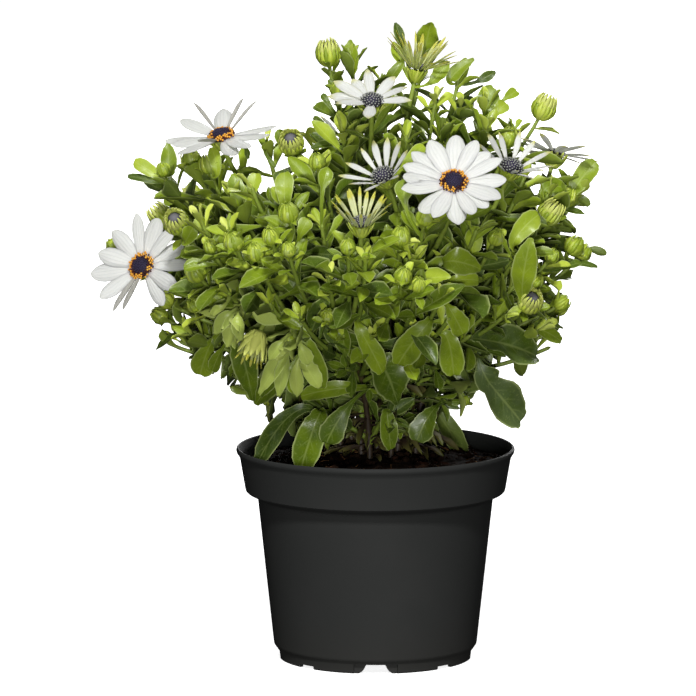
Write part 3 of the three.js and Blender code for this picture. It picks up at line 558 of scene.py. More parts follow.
# Shoots: shares of the main stem between which they leave it, and the small leaves from the tip down.
SHOOTS_FROM = 0.42
SHOOTS_TO = 0.98
LEAVES_COUNTED = 15
LEAF_FIRST = 8.5
LEAF_GROWTH = 1.8
LEAF_LONGEST = 26
LEAF_BREADTH = 0.39
ROOT_SHARES = (0.35, 0.45, 0.55, 0.65, 0.75, 0.85, 0.94)
BUD_SIZE = {"bud": 5.6, "opening": 5.5, "facing": 5.6, "leafy": 0, "droop": 4, "stalk": 0}
BARE_LEAVES = {"bud": 1, "opening": 2, "facing": 3, "leafy": 0, "droop": 0, "stalk": 6}
# How much a tip turns up. Other tips are more upright the higher they are.
TIP_LIFT = {"droop": -1.6, "opening": 0.5, "low": 0.2}
LEAST_LIFT = 0.5
MOST_LIFT = 1.3
LIFTS_FROM = 170
LIFTS_OVER = 60

SHOOT_SEED = 4100
LARGE_LEAF_SEED = 300
BACK_SEED = 77
INNER_SEED = 5200
LITTER_SEED = 6600
BUD_SEED = 7000
CUP_SEED = 8000
BLOOM_SEED = 900
FLORET_SEED = 950
SOIL_SEED = 610

# The far side repeats the front's tips, from this far out, shifted by up to half of the given distance.
BACK_SHIFT = 14
BACK_FROM = 0.2
BACK_DEPTH = 0.4
BACK_LEAVES_FROM = 0.6
BACK_BREADTH = 10

INNER_SHOOTS = 110
# An older, darker leaf colour for the young shoots inside the bush: painted shade.
INNER_SHADE_AGE = 0.6
INNER_LOWEST = 132
INNER_RANGE = 130
INNER_SCATTER = 12
INNER_SINK = 8
INNER_ROOM = 4
LOW_SHOOTS = 54
# An older, darker leaf colour for the low shoots: partly their age, partly painted shade under the bush.
LOW_SHADE_AGE = 0.72
LITTER = 420

POT_MOUTH = 62.5
SOIL_EDGE_HEIGHT = 92.5
SOIL_MOUND_HEIGHT = 99

# Tips of the front half: across, height seen from the front, how far out (1 is the outer face), and kind.
FRONT_TIPS = [
    # top
    (-22, 284, 0.2, "opening"), (-11, 285, 0.1, "leafy"), (-17, 268, 0.3, "bud"), (-15, 248, 0.5, "leafy"),
    (3, 277, 0.1, "leafy"), (23, 291, -0.9, "leafy"), (39, 276, 0, "leafy"), (28, 265, 0.3, "leafy"),
    (40, 262, 0.1, "leafy"), (52, 262, 0.2, "leafy"), (52, 251, 0.5, "leafy"), (65, 250, 0.2, "leafy"),
    (78, 259, 0.2, "opening"), (62, 246, 0.3, "bud"), (34, 248, 0.5, "leafy"), (14, 246, 0.7, "leafy"),
    # left
    (-99, 231, 0.1, "bud"), (-86, 236, 0.2, "bud"), (-78, 233, 0.35, "bud"), (-108, 214, 0.3, "opening"),
    (-129, 199, 0.1, "bud"), (-92, 205, 0.6, "facing"), (-81, 207, 0.75, "leafy"),
    (-68, 202, 0.9, "leafy"), (-76, 194, 0.85, "bud"), (-65, 196, 0.95, "bud"), (-55, 191, 0.95, "bud"),
    (-48, 198, 1, "bud"), (-40, 192, 1, "bud"), (-40, 209, 0.95, "bud"), (-39, 242, 0.5, "facing"),
    (-27, 233, 0.7, "bud"), (-51, 245, 0.3, "leafy"), (-83, 182, 0.8, "bud"), (-100, 171, 0.5, "bud"),
    (-101, 162, 0.45, "bud"), (-84, 167, 0.8, "bud"), (-69, 174, 0.85, "leafy"), (-88, 154, 0.6, "leafy"),
    (-99, 150, 0.3, "leafy"), (-66, 220, 0.6, "leafy"), (-57, 222, 0.7, "leafy"), (-42, 217, 0.8, "leafy"),
    (-25, 205, 0.8, "leafy"),
    # middle
    (-13, 196, 1.05, "bud"), (-22, 180, 1.05, "leafy"), (-5, 188, 1.05, "leafy"), (12, 180, 1.1, "bud"),
    (19, 176, 1.05, "bud"), (-22, 162, 1.05, "bud"), (11, 208, 1.05, "bud"), (22, 210, 1.05, "bud"),
    (-35, 162, 1, "leafy"), (-49, 168, 0.95, "leafy"), (7, 167, 1, "leafy"), (17, 188, 0.95, "leafy"),
    (30, 171, 0.95, "leafy"), (33, 187, 0.8, "leafy"), (46, 202, 0.8, "leafy"), (34, 161, 0.95, "leafy"),
    (18, 152, 0.95, "leafy"), (-2, 153, 1, "leafy"), (44, 153, 0.8, "leafy"), (-15, 153, 1, "leafy"),
    # right
    (55, 198, 0.75, "bud"), (65, 177, 0.6, "leafy"), (61, 163, 0.8, "leafy"), (71, 168, 0.75, "facing"),
    (74, 178, 0.5, "bud"), (82, 190, 0.4, "bud"), (93, 195, 0.1, "bud"), (97, 192, 0, "bud"),
    (87, 168, 0.3, "bud"), (80, 209, 0.4, "opening"), (81, 221, 0.3, "leafy"), (90, 218, 0.1, "bud"),
    (96, 222, 0, "leafy"), (70, 198, 0.6, "leafy"), (69, 228, 0.5, "leafy"), (77, 156, 0.5, "leafy"),
    # hanging
    (-65, 159, 0.95, "droop"), (-42, 145, 1, "droop"), (42, 122, 0.5, "droop"),
]


class Leaf(NamedTuple):
    """A large leaf: where its blade starts and ends, how far out it lies, and its breadth."""
    root_across: float
    root_height: float
    tip_across: float
    tip_height: float
    outness: float
    breadth: float


FRONT_LEAVES = [Leaf(*entry) for entry in (
    (-64, 153, -57, 122, 0.85, 12), (-76, 153, -82, 134, 0.8, 12), (-71, 148, -76, 136, 0.8, 7),
    (-35, 124, -55, 93, 0.75, 10), (-24, 122, -35, 89, 0.8, 14), (-12, 122, -23, 102, 0.8, 12),
    (-2, 128, -35, 124, 0.8, 9), (-40, 139, -56, 120, 0.8, 13), (-10, 158, 3, 135, 1, 10),
    (25, 159, 10, 139, 1, 13), (2, 143, 10, 121, 0.9, 19), (4, 122, 7, 99, 0.7, 9),
    (28, 121, 19, 103, 0.7, 12), (33, 156, 36, 134, 0.95, 12), (70, 158, 87, 150, 0.5, 7),
    (27, 188, 48, 183, 0.9, 13), (30, 177, 47, 178, 0.85, 8), (65, 167, 71, 198, 0.8, 12),
    (58, 192, 75, 209, 0.7, 10), (90, 217, 103, 235, 0.05, 10), (75, 223, 89, 222, 0.3, 9),
    (23, 286, 26, 301, -0.9, 11), (30, 270, 46, 283, 0.05, 7), (13, 277, 8, 291, 0.1, 6),
    (14, 284, 9, 300, 0.1, 5), (4, 268, 13, 282, 0.25, 6), (26, 268, 34, 282, 0.2, 7),
    (52, 257, 53, 271, 0.2, 11), (54, 255, 61, 262, 0.25, 7), (-11, 275, -12, 292, 0.1, 8),
    (-100, 226, -113, 235, 0.1, 7), (-99, 223, -116, 228, 0.1, 4), (-96, 226, -97, 244, 0.1, 8),
    (-42, 209, -42, 228, 0.8, 9), (-63, 213, -66, 228, 0.6, 8), (-58, 212, -55, 228, 0.65, 7),
    (-37, 193, -31, 206, 0.95, 7), (11, 209, 13, 224, 1, 9), (45, 207, 44, 190, 0.75, 9),
    (-92, 153, -103, 146, 0.4, 5), (32, 167, 40, 153, 0.95, 11), (9, 177, 7, 160, 1, 7),
    (-16, 158, -14, 142, 1, 8), (-35, 155, -25, 128, 0.95, 11), (-42, 143, -53, 124, 1, 9),
    (-41, 142, -37, 126, 1, 8), (97, 195, 108, 191, 0, 4.5), (91, 187, 104, 185, 0.1, 4),
    (80, 181, 96, 187, 0.3, 5), (70, 160, 88, 156, 0.5, 4), (92, 220, 100, 214, 0, 5),
    (86, 212, 98, 210, 0.1, 4), (-20, 247, -29, 255, 0.3, 3.5), (-20, 257, -25, 266, 0.3, 3.5),
    (-18, 243, -30, 240, 0.4, 4), (-53, 239, -47, 231, 0.5, 3), (-60, 244, -59, 235, 0.5, 3),
    (-14, 262, -22, 273, 0.2, 4), (58, 262, 66, 268, 0.2, 6), (46, 270, 56, 277, 0.1, 5),
    (8, 226, 22, 240, 0.9, 6), (-26, 215, -22, 230, 0.9, 7), (-72, 225, -76, 241, 0.4, 6),
    (-90, 190, -84, 203, 0.7, 8),
)]
FRONT_LOBED_LEAVES = [Leaf(*entry) for entry in (
    (47, 133, 68, 112, 0.85, 19), (45, 151, 75, 143, 0.95, 20),
)]
# Pale soft leaves that hang from the nodding shoots.
FRONT_PALE_LEAVES = [Leaf(*entry) for entry in (
    (-38, 148, -54, 125, 1.05, 8), (-41, 145, -45, 124, 1.05, 7), (-37, 142, -26, 128, 1.05, 9),
    (-36, 149, -31, 139, 1.05, 7), (-39, 141, -36, 124, 1.02, 7), (-42, 151, -49, 141, 1.05, 6),
    (-65, 165, -74, 153, 1.1, 7), (-66, 164, -68, 147, 1.12, 7.5), (-64, 164, -62, 150, 1.12, 7),
    (-67, 166, -76, 162, 1.08, 5),
)]


class Kind(NamedTuple):
    """How a bloom is open."""
    petals: int
    valley: float       # the radius where the petals part
    length: float       # from there
    breadth: float
    rise: float         # in degrees
    curl: float         # how much the rise drops, in degrees for each millimetre
    disc: float         # radius
    dome: float         # height of the disc
    green: float        # how green the petals' tips are, and how young the petals look
    point: float        # how pointed the petals are


BLOOM_KINDS = {
    "open": Kind(16, 7.2, 17.2, 8.6, 12, 0.3, 5.8, 3.2, 0.0, 1.35),
    "loose": Kind(13, 7.2, 18.8, 8.8, 8, 0.1, 5.8, 3.2, 0.04, 1.4),
    "pointed": Kind(12, 5.6, 14.2, 6.4, 11, 0.2, 5.3, 3.4, 0.45, 2.4),
    "half_open": Kind(12, 5.2, 11.8, 3.3, 40, 0.5, 5.4, 3.4, 0.55, 1.9),
    "turned": Kind(13, 5.6, 17.4, 4.5, 6, 0.4, 4.8, 2, 0.6, 1.8),
    "spray": Kind(30, 4.2, 15, 1.9, 46, 0.3, 3.6, 2, 0.95, 1.5),
    "cup": Kind(20, 4.6, 11.2, 2.3, 55, 0.4, 4.4, 3, 0.85, 1.5),
    "wilted": Kind(8, 4.6, 7, 1.5, 72, 0, 2.6, 1.4, 1.0, 1.2),
}


@dataclass
class Bloom:
    name: str
    place: tuple        # across, height and how far out
    turn: float         # from the front, in degrees
    lift: float         # above the level, in degrees
    look: str

    @property
    def kind(self):
        return BLOOM_KINDS[self.look]

    @cached_property
    def facing(self):
        around, up = math.radians(self.turn), math.radians(self.lift)
        return Vector((math.sin(around) * math.cos(up), -math.cos(around) * math.cos(up), math.sin(up)))

    @cached_property
    def origin(self):
        return place_in_bush(*self.place) - self.facing * DISC_LEVEL

    @cached_property
    def placing(self):
        return UP.rotation_difference(self.facing).to_matrix()

    def path(self, *spots):
        """A path through spots that are given from the origin, with the way it faces as their Z."""
        return Path(*[self.origin + self.placing @ spot for spot in spots])


BLOOMS = [Bloom(*entry) for entry in (
    ("left", (-110, 186, 0.45), -31, 26, "loose"),
    ("upper_left", (-72, 248, 0.5), -32, 68, "loose"),
    ("main", (35, 224, 1.12), 0, 45, "open"),
    ("top_white", (-2, 263, 0.9), 0, 59, "pointed"),
    ("middle", (2, 228, 0.74), -35, 50, "half_open"),
    ("upper_right", (63, 233, 0.7), 30, 58, "half_open"),
    ("cup", (-7, 206, 1.05), 0, 70, "cup"),
    ("top_spray", (20, 281, 0.2), 70, 77, "spray"),
    ("right_back", (84, 241, -0.1), 150, 68, "turned"),
    ("wilted", (-57, 146, 1.06), -52, -62, "wilted"),
    ("back_right", (58, 214, -1.1), 150, 36, "open"),
    ("back_left", (-62, 205, -1.1), -145, 30, "loose"),
    ("back_top", (-12, 250, -0.9), 178, 56, "half_open"),
)]
# Petals that have fallen, and ones that have dried into rolls, as their order round each bloom.
FALLEN = {"top_white": (8, 10, 11)}
ROLLED = {"upper_left": (1, 2, 4, 9), "left": (8, 9)}
DISC_LEVEL = 3
INVOLUCRE_DEPTH = 6.5


def place_in_bush(across, height, outness):
    reach = read_off(BUSH_OUTLINE, height) ** 2 - (across - BUSH_CENTRE_X) ** 2
    forward = BUSH_ROUNDNESS * math.sqrt(max(0.0, reach)) * outness
    return Vector((across, -forward, height + SIGHT_RISE * forward))


def seen_from_front(place):
    return Vector((place.x, place.z + SIGHT_RISE * place.y))


def soil_height_at(radius):
    share = min(1.0, radius / POT_MOUTH)
    return SOIL_EDGE_HEIGHT + (SOIL_MOUND_HEIGHT - SOIL_EDGE_HEIGHT) * (1 + math.cos(math.pi * share)) / 2


def main_stem(index):
    share = (index + 0.5) / STEMS
    way = polar(1, index * GOLDEN_ANGLE)
    foot = way * CROWN_RADIUS * math.sqrt(share)
    foot.z = soil_height_at(foot.length) - CROWN_DEPTH
    fork = way * FORK_SPREAD * math.sqrt(share)
    fork.x += BUSH_CENTRE_X
    fork.z = FORK_TOP_HEIGHT - FORK_HEIGHT_DROP * share
    low = foot + UP * STEM_FOOT_RISE
    high = fork - (fork - BUSH_HEART).normalized() * STEM_RISE / 2
    return Path(foot, low, high, fork)


def tip_direction(tip, kind):
    """Which way a shoot ends: outwards and up. Some nod, and some buds face out."""
    outwards = (tip - BUSH_HEART).normalized()
    if kind == "facing":
        outwards = Vector((0.3 * outwards.x, math.copysign(0.75, outwards.y), 0.6))
    elif kind in TIP_LIFT:
        outwards.z += TIP_LIFT[kind]
    else:
        outwards.z += LEAST_LIFT + (MOST_LIFT - LEAST_LIFT) * clamped((tip.z - LIFTS_FROM) / LIFTS_OVER)
    return outwards.normalized()


def mirrored(across):
    return 2 * BUSH_CENTRE_X - across


def back_tips():
    """The front's tips, turned about the bush's middle."""
    draw = seeded_draws(BACK_SEED)
    tips = []
    for across, height, outness, kind in FRONT_TIPS:
        if outness >= BACK_FROM:
            place = mirrored(across) + (draw() - 0.5) * BACK_SHIFT
            height = min(height + (draw() - 0.5) * BACK_SHIFT, read_off(SKYLINE, place))
            tips.append((place, height, -(BACK_DEPTH + (1 - BACK_DEPTH) * outness), kind))
    return tips


def back_leaves():
    return [
        leaf._replace(root_across=mirrored(leaf.root_across), tip_across=mirrored(leaf.tip_across),
                      outness=-leaf.outness)
        for leaf in FRONT_LEAVES if leaf.outness >= BACK_LEAVES_FROM and leaf.breadth >= BACK_BREADTH
    ]


def inner_tips():
    """Young shoots inside the bush, spread by the golden angle, that close its gaps."""
    draw = seeded_draws(INNER_SEED)
    for index in range(INNER_SHOOTS):
        height = INNER_LOWEST + INNER_RANGE * ((index + 0.5) / INNER_SHOOTS) + (draw() - 0.5) * INNER_SCATTER
        angle = index * GOLDEN_ANGLE
        reach = read_off(BUSH_OUTLINE, height) * (0.25 + 0.5 * draw())
        place = Vector((BUSH_CENTRE_X + reach * math.cos(angle), BUSH_ROUNDNESS * reach * math.sin(angle), 0))
        place.z = min(height, read_off(SKYLINE, place.x) - SIGHT_RISE * place.y) - INNER_SINK
        yield place


def low_tips():
    """Leafy side shoots just over the soil, round the stems' feet."""
    draw = seeded_draws(INNER_SEED + 1)
    for index in range(LOW_SHOOTS):
        angle = index * GOLDEN_ANGLE
        reach = 12 + 34 * draw()
        height = 103 + 27 * draw() + 0.25 * reach
        yield Vector((BUSH_CENTRE_X + reach * math.cos(angle), reach * math.sin(angle), height))


stems = [main_stem(index) for index in range(STEMS)]


@dataclass
class Shoot:
    """A side shoot: where and how it ends, its main stem and the share of that where it starts."""
    tip: Vector
    direction: Vector
    kind: str
    index: int
    stem: int
    start: float = 0.0
    # The age set for inner and low shoots darkens their leaves as painted shade, wholly for inner ones and
    # partly for low ones.
    age: float = 0.0    # of its first leaves, or 0 where they are as young as they happen to be

    @cached_property
    def path(self):
        start = stems[self.stem].spot(self.start)
        bend = self.tip - self.direction * 0.5 * (self.tip - start).length
        return Path(start, bend, self.tip)


def nearest_stem(place, share=1.0):
    return min(range(STEMS), key=lambda index: (stems[index].at(share) - place).length)


def plan_shoots():
    """The blooms' stalks first, then the shoots to the tips, those inside the bush, and the low ones."""
    ends = [(bloom.origin - bloom.facing * INVOLUCRE_DEPTH / 2, bloom.facing, "stalk") for bloom in BLOOMS]
    for across, height, outness, kind in FRONT_TIPS + back_tips():
        tip = clear_of_blooms(place_in_bush(across, height, outness), BUD_SIZE[kind])
        ends.append((tip, tip_direction(tip, kind), kind))
    shoots = [Shoot(tip, direction, kind, index, nearest_stem(tip))
              for index, (tip, direction, kind) in enumerate(ends)]
    for index, stem in enumerate(stems):
        own = sorted((shoot for shoot in shoots if shoot.stem == index),
                     key=lambda shoot: (stem.points[0] - shoot.tip).length)
        for order, shoot in enumerate(own):
            shoot.start = SHOOTS_FROM + (SHOOTS_TO - SHOOTS_FROM) * (order + 1) / len(own)
    for index, place in enumerate(inner_tips()):
        tip = clear_of_blooms(place, INNER_ROOM)
        start = 0.5 + 0.45 * (index * GOLDEN_SHARE % 1)
        shoots.append(Shoot(tip, tip_direction(tip, "leafy"), "leafy", len(shoots),
                            nearest_stem(tip), start, INNER_SHADE_AGE))
    for index, tip in enumerate(low_tips()):
        start = 0.08 + 0.22 * (index * GOLDEN_SHARE % 1)
        shoots.append(Shoot(tip, tip_direction(tip, "low"), "leafy", len(shoots),
                            nearest_stem(tip, 0.3), start, LOW_SHADE_AGE))
    return shoots


# ---- Leaves ------------------------------------------------------------------------------------------

STEM_FINISH, FLORET_FINISH = 1, 2
SMALL_BLANK = Blank(8, 8)
LARGE_BLANK = Blank(12, 22)
SHOOT_BLANK = Blank(6, 9, STEM_FINISH)
STEM_BLANK = Blank(8, 18, STEM_FINISH)
TWIG_BLANK = Blank(5, 6, STEM_FINISH)
YOUNG_DISC_BLANK = Blank(8, 5, FLORET_FINISH)
PETAL_BLANK = Blank(12, 10)
BRACT_BLANK = Blank(6, 6)
CORE_BLANK = Blank(10, 8)
FLORET_BLANK = Blank(5, 4)

LEAF_THICKNESS = 0.55
LEAF_TEETH = 6
TEETH_FROM = 0.35
# The small leaves next to a bud stand this much wider off, and there are this many of them.
BUD_SPREAD = math.radians(26)
BUD_LEAVES = 6
NARROW_LEAF = 5
SKYLINE_LEAF_HEIGHT = 280
# A large leaf's blade may lean along the line of sight by this share of its length.
SIGHT_SLANT = 0.22
# Large leaves that small ones keep clear of: the least breadth and outness, and by how much they keep clear.
SHOWN_BREADTH = 9
SHOWN_OUTNESS = 0.5
LEAF_CLEARANCE = 0.9
SHOWN_DEPTH = 3
# The space over a bloom that stays free: under its plane, over it, and how high it may grow outwards.
BLOOM_UNDER = 3
BLOOM_OVER = 6
BLOOM_OVER_MOST = 12

# Leaf outlines: a share of the length from the root, and the half breadth there as a share of the largest.
SMALL_OUTLINE = [
    (0, 0), (0.02, 0.2), (0.2, 0.26), (0.42, 0.62), (0.6, 0.96), (0.71, 1), (0.84, 0.86), (0.93, 0.5), (1, 0),
]
POINTED_OUTLINE = [
    (0, 0), (0.02, 0.2), (0.2, 0.3), (0.42, 0.74), (0.57, 1), (0.7, 0.92), (0.83, 0.6), (0.94, 0.24), (1, 0),
]
SPATULATE_OUTLINE = [
    (0, 0), (0.02, 0.2), (0.2, 0.34), (0.4, 0.62), (0.6, 0.86), (0.78, 1), (0.9, 0.88), (0.97, 0.55), (1, 0),
]
OVAL_OUTLINE = [
    (0, 0), (0.02, 0.2), (0.2, 0.34), (0.4, 0.74), (0.56, 1), (0.72, 0.94), (0.86, 0.64), (0.95, 0.3), (1, 0),
]
LOBED_OUTLINE = [
    (0, 0), (0.02, 0.14), (0.1, 0.26), (0.24, 0.66), (0.35, 0.74), (0.43, 0.6), (0.58, 0.92), (0.74, 1),
    (0.88, 0.9), (0.96, 0.58), (1, 0),
]


def breadth_at(outline, share):
    """The half breadth between an outline's points, eased from each to the next."""
    for (low, low_breadth), (high, high_breadth) in zip(outline, outline[1:]):
        if share <= high:
            eased = (1 - math.cos(math.pi * (share - low) / (high - low))) / 2
            if high == 1:
                eased = 1 - math.sqrt(max(0.0, 1 - ((share - low) / (high - low)) ** 2))
            return low_breadth + (high_breadth - low_breadth) * eased
    return 0.0


def leaf_section(breadth, cup, ripple=0.0, phase=0.0, teeth=0, outline=SMALL_OUTLINE):
    """The section of a leaf: folded up along its midrib, with waved and toothed margins."""
    def section(share, aside, upward):
        half = breadth / 2 * breadth_at(outline, share)
        if teeth and share > TEETH_FROM:
            half *= 1 + 0.05 * math.cos(2 * math.pi * teeth * share) * math.sin(math.pi * share) ** 0.5
        thick = LEAF_THICKNESS * (1.1 - 0.5 * share) * min(1.0, 12 * share)
        rise = cup * half * aside * aside + 0.5 * thick * upward
        if abs(aside) < 0.3:
            rise -= thick * (0.45 if upward > 0 else 0.75)
        rise += ripple * breadth * aside * abs(aside) * math.sin(2 * math.pi * 2.3 * share + phase)
        rise += ripple * 0.6 * breadth * aside * aside * math.sin(2 * math.pi * 3.1 * share + 2 * phase)
        return half * aside, rise
    return section


def leaves_of(path, draw):
    """A shoot's leaves from its tip down, each a golden angle on, longer and more spread."""
    phase = draw() * 2 * math.pi
    for index in range(LEAVES_COUNTED):
        drawn = [draw() for _ in range(4)]
        share = 1 - (1.5 + 1.3 * index + 0.17 * index * index) / path.length
        if share < 0.3:
            return
        length = min(LEAF_LONGEST, LEAF_FIRST + LEAF_GROWTH * index) * (0.85 + 0.3 * drawn[0])
        turn = phase + index * GOLDEN_ANGLE + (drawn[1] - 0.5) * 0.6
        spread = math.radians(min(62, 24 + 4.4 * index) + (drawn[2] - 0.5) * 26)
        yield index, share, length, turn, spread, -0.15 + 0.55 * drawn[3]


def midrib_of(path, share, length, turn, spread, droop):
    """A leaf's midrib and the way its upper side faces, from where it stands on its shoot."""
    own_share = path.measured(share)
    root, axis = path.at(own_share), path.heading(own_share)
    side = UP.cross(axis)
    if side.length < 0.1:
        side = ASIDE.cross(axis)
    side.normalize()
    out = side * math.cos(turn) + axis.cross(side) * math.sin(turn)
    start = axis * math.cos(spread) + out * math.sin(spread)
    face = axis * math.sin(spread) - out * math.cos(spread)
    bend = root + start * length * 0.55
    end = start - face * droop
    end.z -= droop * 0.4
    return Path(root, bend, bend + end.normalized() * length * 0.45), face


def leaf_span(leaf):
    """Where a large leaf's blade starts and ends. It runs across the line of sight rather than along it."""
    ends = [place_in_bush(leaf.root_across, leaf.root_height, leaf.outness),
            place_in_bush(leaf.tip_across, leaf.tip_height, leaf.outness)]
    middle = (ends[0].y + ends[1].y) / 2
    room = SIGHT_SLANT * math.hypot(leaf.tip_across - leaf.root_across, leaf.tip_height - leaf.root_height)
    for end in ends:
        moved = clamped(end.y, middle - room, middle + room) - end.y
        end.y += moved
        end.z -= SIGHT_RISE * moved
    return ends


SHOWN_LEAVES = [(*leaf_span(leaf), leaf.breadth)
                for leaf in FRONT_LOBED_LEAVES + FRONT_PALE_LEAVES + FRONT_LEAVES
                if leaf.breadth >= SHOWN_BREADTH and leaf.outness >= SHOWN_OUTNESS
                or leaf in FRONT_PALE_LEAVES]
# The wilted bloom's stalk shows too.
SHOWN_LEAVES.append((place_in_bush(-50, 167, 1.04), place_in_bush(-56, 150, 1.04), 14))


def hides_large_leaf(place):
    """Whether a place lies in front of a large leaf that shows, so that a small leaf there would hide it."""
    seen = seen_from_front(place)
    for foot, tip, breadth in SHOWN_LEAVES:
        root = seen_from_front(foot)
        run = seen_from_front(tip) - root
        along = clamped((seen - root).dot(run) / run.length_squared, 0.1)
        off_middle = (root + run * along - seen).length
        if off_middle < 0.5 * breadth * LEAF_CLEARANCE and place.y < foot.lerp(tip, along).y + SHOWN_DEPTH:
            return True
    return False


def is_past_edge(place):
    """Whether a place lies outside the bush as the front shows it, or in one of its clearings."""
    seen = seen_from_front(place)
    if any(math.hypot(seen.x - across, seen.y - height) < radius for across, height, radius in CLEARINGS):
        return True
    if seen.y >= LEAF_EDGES[-1][0]:
        return False
    return not read_off(LEAF_EDGES, seen.y) < seen.x < read_off(LEAF_EDGES, seen.y, 2)


def height_over_petals(place, bloom, room):
    """How far a place stands into the space between a bloom's plane and its petals, or 0 outside it."""
    offset = place - bloom.origin
    height = offset.dot(bloom.facing)
    reach = (offset - bloom.facing * height).length
    top = BLOOM_OVER + room + min(BLOOM_OVER_MOST, reach * math.tan(math.radians(bloom.kind.rise)))
    is_inside = reach < bloom.kind.valley + bloom.kind.length + room and -BLOOM_UNDER - room < height < top
    return height + BLOOM_UNDER + room if is_inside else 0


def is_in_bloom(place):
    return any(height_over_petals(place, bloom, 0) for bloom in BLOOMS)


def clear_of_blooms(place, room):
    """The place, moved back behind the bloom that it stands in."""
    for bloom in BLOOMS:
        place = place - bloom.facing * height_over_petals(place, bloom, room)
    return place


def grow_leaves(growth, shoot):
    """A shoot's small leaves. One outside the bush, in a bloom or in front of a large leaf is left out."""
    seed = SHOOT_SEED + 7 * shoot.index
    draw, look = seeded_draws(seed), seeded_draws(seed + 3)
    vigour, paleness, count = 0.8 + 0.38 * look(), look(), 8 + int(7 * look())
    outline = POINTED_OUTLINE if look() > 0.5 else SMALL_OUTLINE
    droops = shoot.kind == "droop"
    if droops:
        vigour, paleness, count = 1.45, 0, 11
    for index, share, length, turn, spread, droop in leaves_of(shoot.path, draw):
        drawn = [look() for _ in range(5)]
        if index < BARE_LEAVES[shoot.kind] or (index > count and not shoot.age):
            continue
        if shoot.kind in ("bud", "opening", "facing") and index < BUD_LEAVES:
            spread += BUD_SPREAD * (1 - index / BUD_LEAVES)
            length *= 0.8
        if droops:
            spread *= 0.7
        midrib, face = midrib_of(shoot.path, share, length * vigour, turn, spread, droop)
        places = [midrib.at(share) for share in (0.4, 0.7, 1)]
        if is_past_edge(places[2]) or (not droops and any(is_in_bloom(place) for place in places)):
            continue
        if not shoot.age and not droops and any(hides_large_leaf(place) for place in places[1:]):
            continue
        breadth = length * vigour * LEAF_BREADTH * (0.8 + 0.35 * drawn[0])
        section = leaf_section(breadth, 0.3 + 0.45 * drawn[1], 0.08 * drawn[2], 6.28 * drawn[3], 0, outline)
        # Inner and low shoots start darker as painted shade. Leaves farther down a shoot are older and
        # darker, partly as painted shade.
        age = min(0.9, (shoot.age or 0.36 * paleness) + 0.06 * index + 0.24 * (drawn[4] - 0.5))
        tone = 1.0 if droops else 0.94 * drawn[3]
        growth.lay(SMALL_BLANK, midrib, face, section, age, tone, (drawn[2] - 0.5) * 0.9)


def stalked(outline, stalk, least):
    """An outline whose blade starts after a narrow stalk of the given share."""
    blade = [(stalk + (1 - stalk) * share, max(least, breadth) if share < 1 else 0)
             for share, breadth in outline[2:]]
    return [(0, 0), (0.01, least), (stalk, least)] + blade


def grow_large_leaf(growths, places, leaf, kind, order):
    """A large leaf on a stalk from the nearest of the places, which are pairs of a stem and a place on it."""
    foot, tip = leaf_span(leaf)
    wanted = place_in_bush(leaf.root_across, leaf.root_height, leaf.outness * 0.85)
    stem, root = min(places, key=lambda place: (place[1] - wanted).length)
    blade = (tip - foot).length
    middle = foot.lerp(tip, 0.5) + Vector((0, -math.copysign(0.12, leaf.outness), 0.12)) * blade
    path = Path(root, foot, middle, tip)
    stalk = max(0.0, 1 - 1.12 * blade / path.length)
    draw = seeded_draws(LARGE_LEAF_SEED + 11 * order)
    drawn = [draw() for _ in range(5)]
    is_lobed, is_pale, is_on_skyline = kind == "lobed", kind == "pale", leaf.tip_height > SKYLINE_LEAF_HEIGHT
    is_oval = is_pale or is_on_skyline or (drawn[3] > 0.6 and leaf.tip_height > 105)
    outline = LOBED_OUTLINE if is_lobed else OVAL_OUTLINE if is_oval else SPATULATE_OUTLINE
    if stalk > 0.05:
        outline = stalked(outline, stalk, 1.7 / leaf.breadth)
    outwards = Vector((foot.x - BUSH_CENTRE_X, foot.y, 0)).normalized()
    forward = -0.8 if leaf.outness > 0 or is_on_skyline else 0.8
    face = outwards * 0.2 + Vector((0.5 * (drawn[4] - 0.5), forward, 0.3 + 0.5 * drawn[0]))
    cup = (0.45 if is_pale else 0.1) + 0.22 * drawn[0]
    ripple = 0.07 if is_lobed or is_pale else 0.055
    teeth = 0 if is_lobed or drawn[2] < 0.4 else LEAF_TEETH
    section = leaf_section(leaf.breadth, cup, ripple, 6.28 * drawn[1], teeth, outline)
    if is_lobed:
        age = 1.0 - 0.05 * order
    elif is_pale:
        age = 0.2 + 0.2 * drawn[3]
    elif leaf.breadth <= NARROW_LEAF:
        age = 0.74 + 0.16 * drawn[3]
    else:
        # Lower large leaves are set older and darker: partly their age, partly painted shade under the bush.
        low = 1 - clamped((leaf.tip_height - 95) / 90)
        age = 0.36 + 0.3 * low + 0.26 * drawn[3]
    tone = 1.0 if is_pale else 0.94 * drawn[2]
    growths[stem].lay(LARGE_BLANK, path, face, section, age, tone, (drawn[1] - 0.5) * 0.5)


# ---- Stems, buds and the cups under the blooms -------------------------------------------------------

BUD_BRACTS = 17
YOUNG_PETALS = 15
CUP_BRACTS = 15
CUP_REACH = 5
WILTED_CUP_REACH = 5.2
STEM_RADII = (1.6, 1.2)
SHOOT_RADII = (1.3, 0.95)
STALK_RADII = (1.3, 1.15)
TWIG_RADII = (0.55, 0.3)
FIBRE_RADII = (0.28, 0.16)


def round_section(radius_at):
    """The section of a round body, from a rule for its radius at each share."""
    def section(share, aside, upward):
        radius = radius_at(share)
        return radius * aside, radius * upward
    return section


def tapered(start, end):
    return round_section(lambda share: start + (end - start) * share)


def knotted(start, end, phase):
    """A stem's section: it tapers and swells a little at its leaf scars."""
    return round_section(lambda share: (start + (end - start) * share) * (
        1 + 0.14 * math.sin(34 * share + phase) * (1 - share)))


def bulging(radius, power=0.6):
    return round_section(lambda share: radius * math.sin(math.pi * share) ** power)


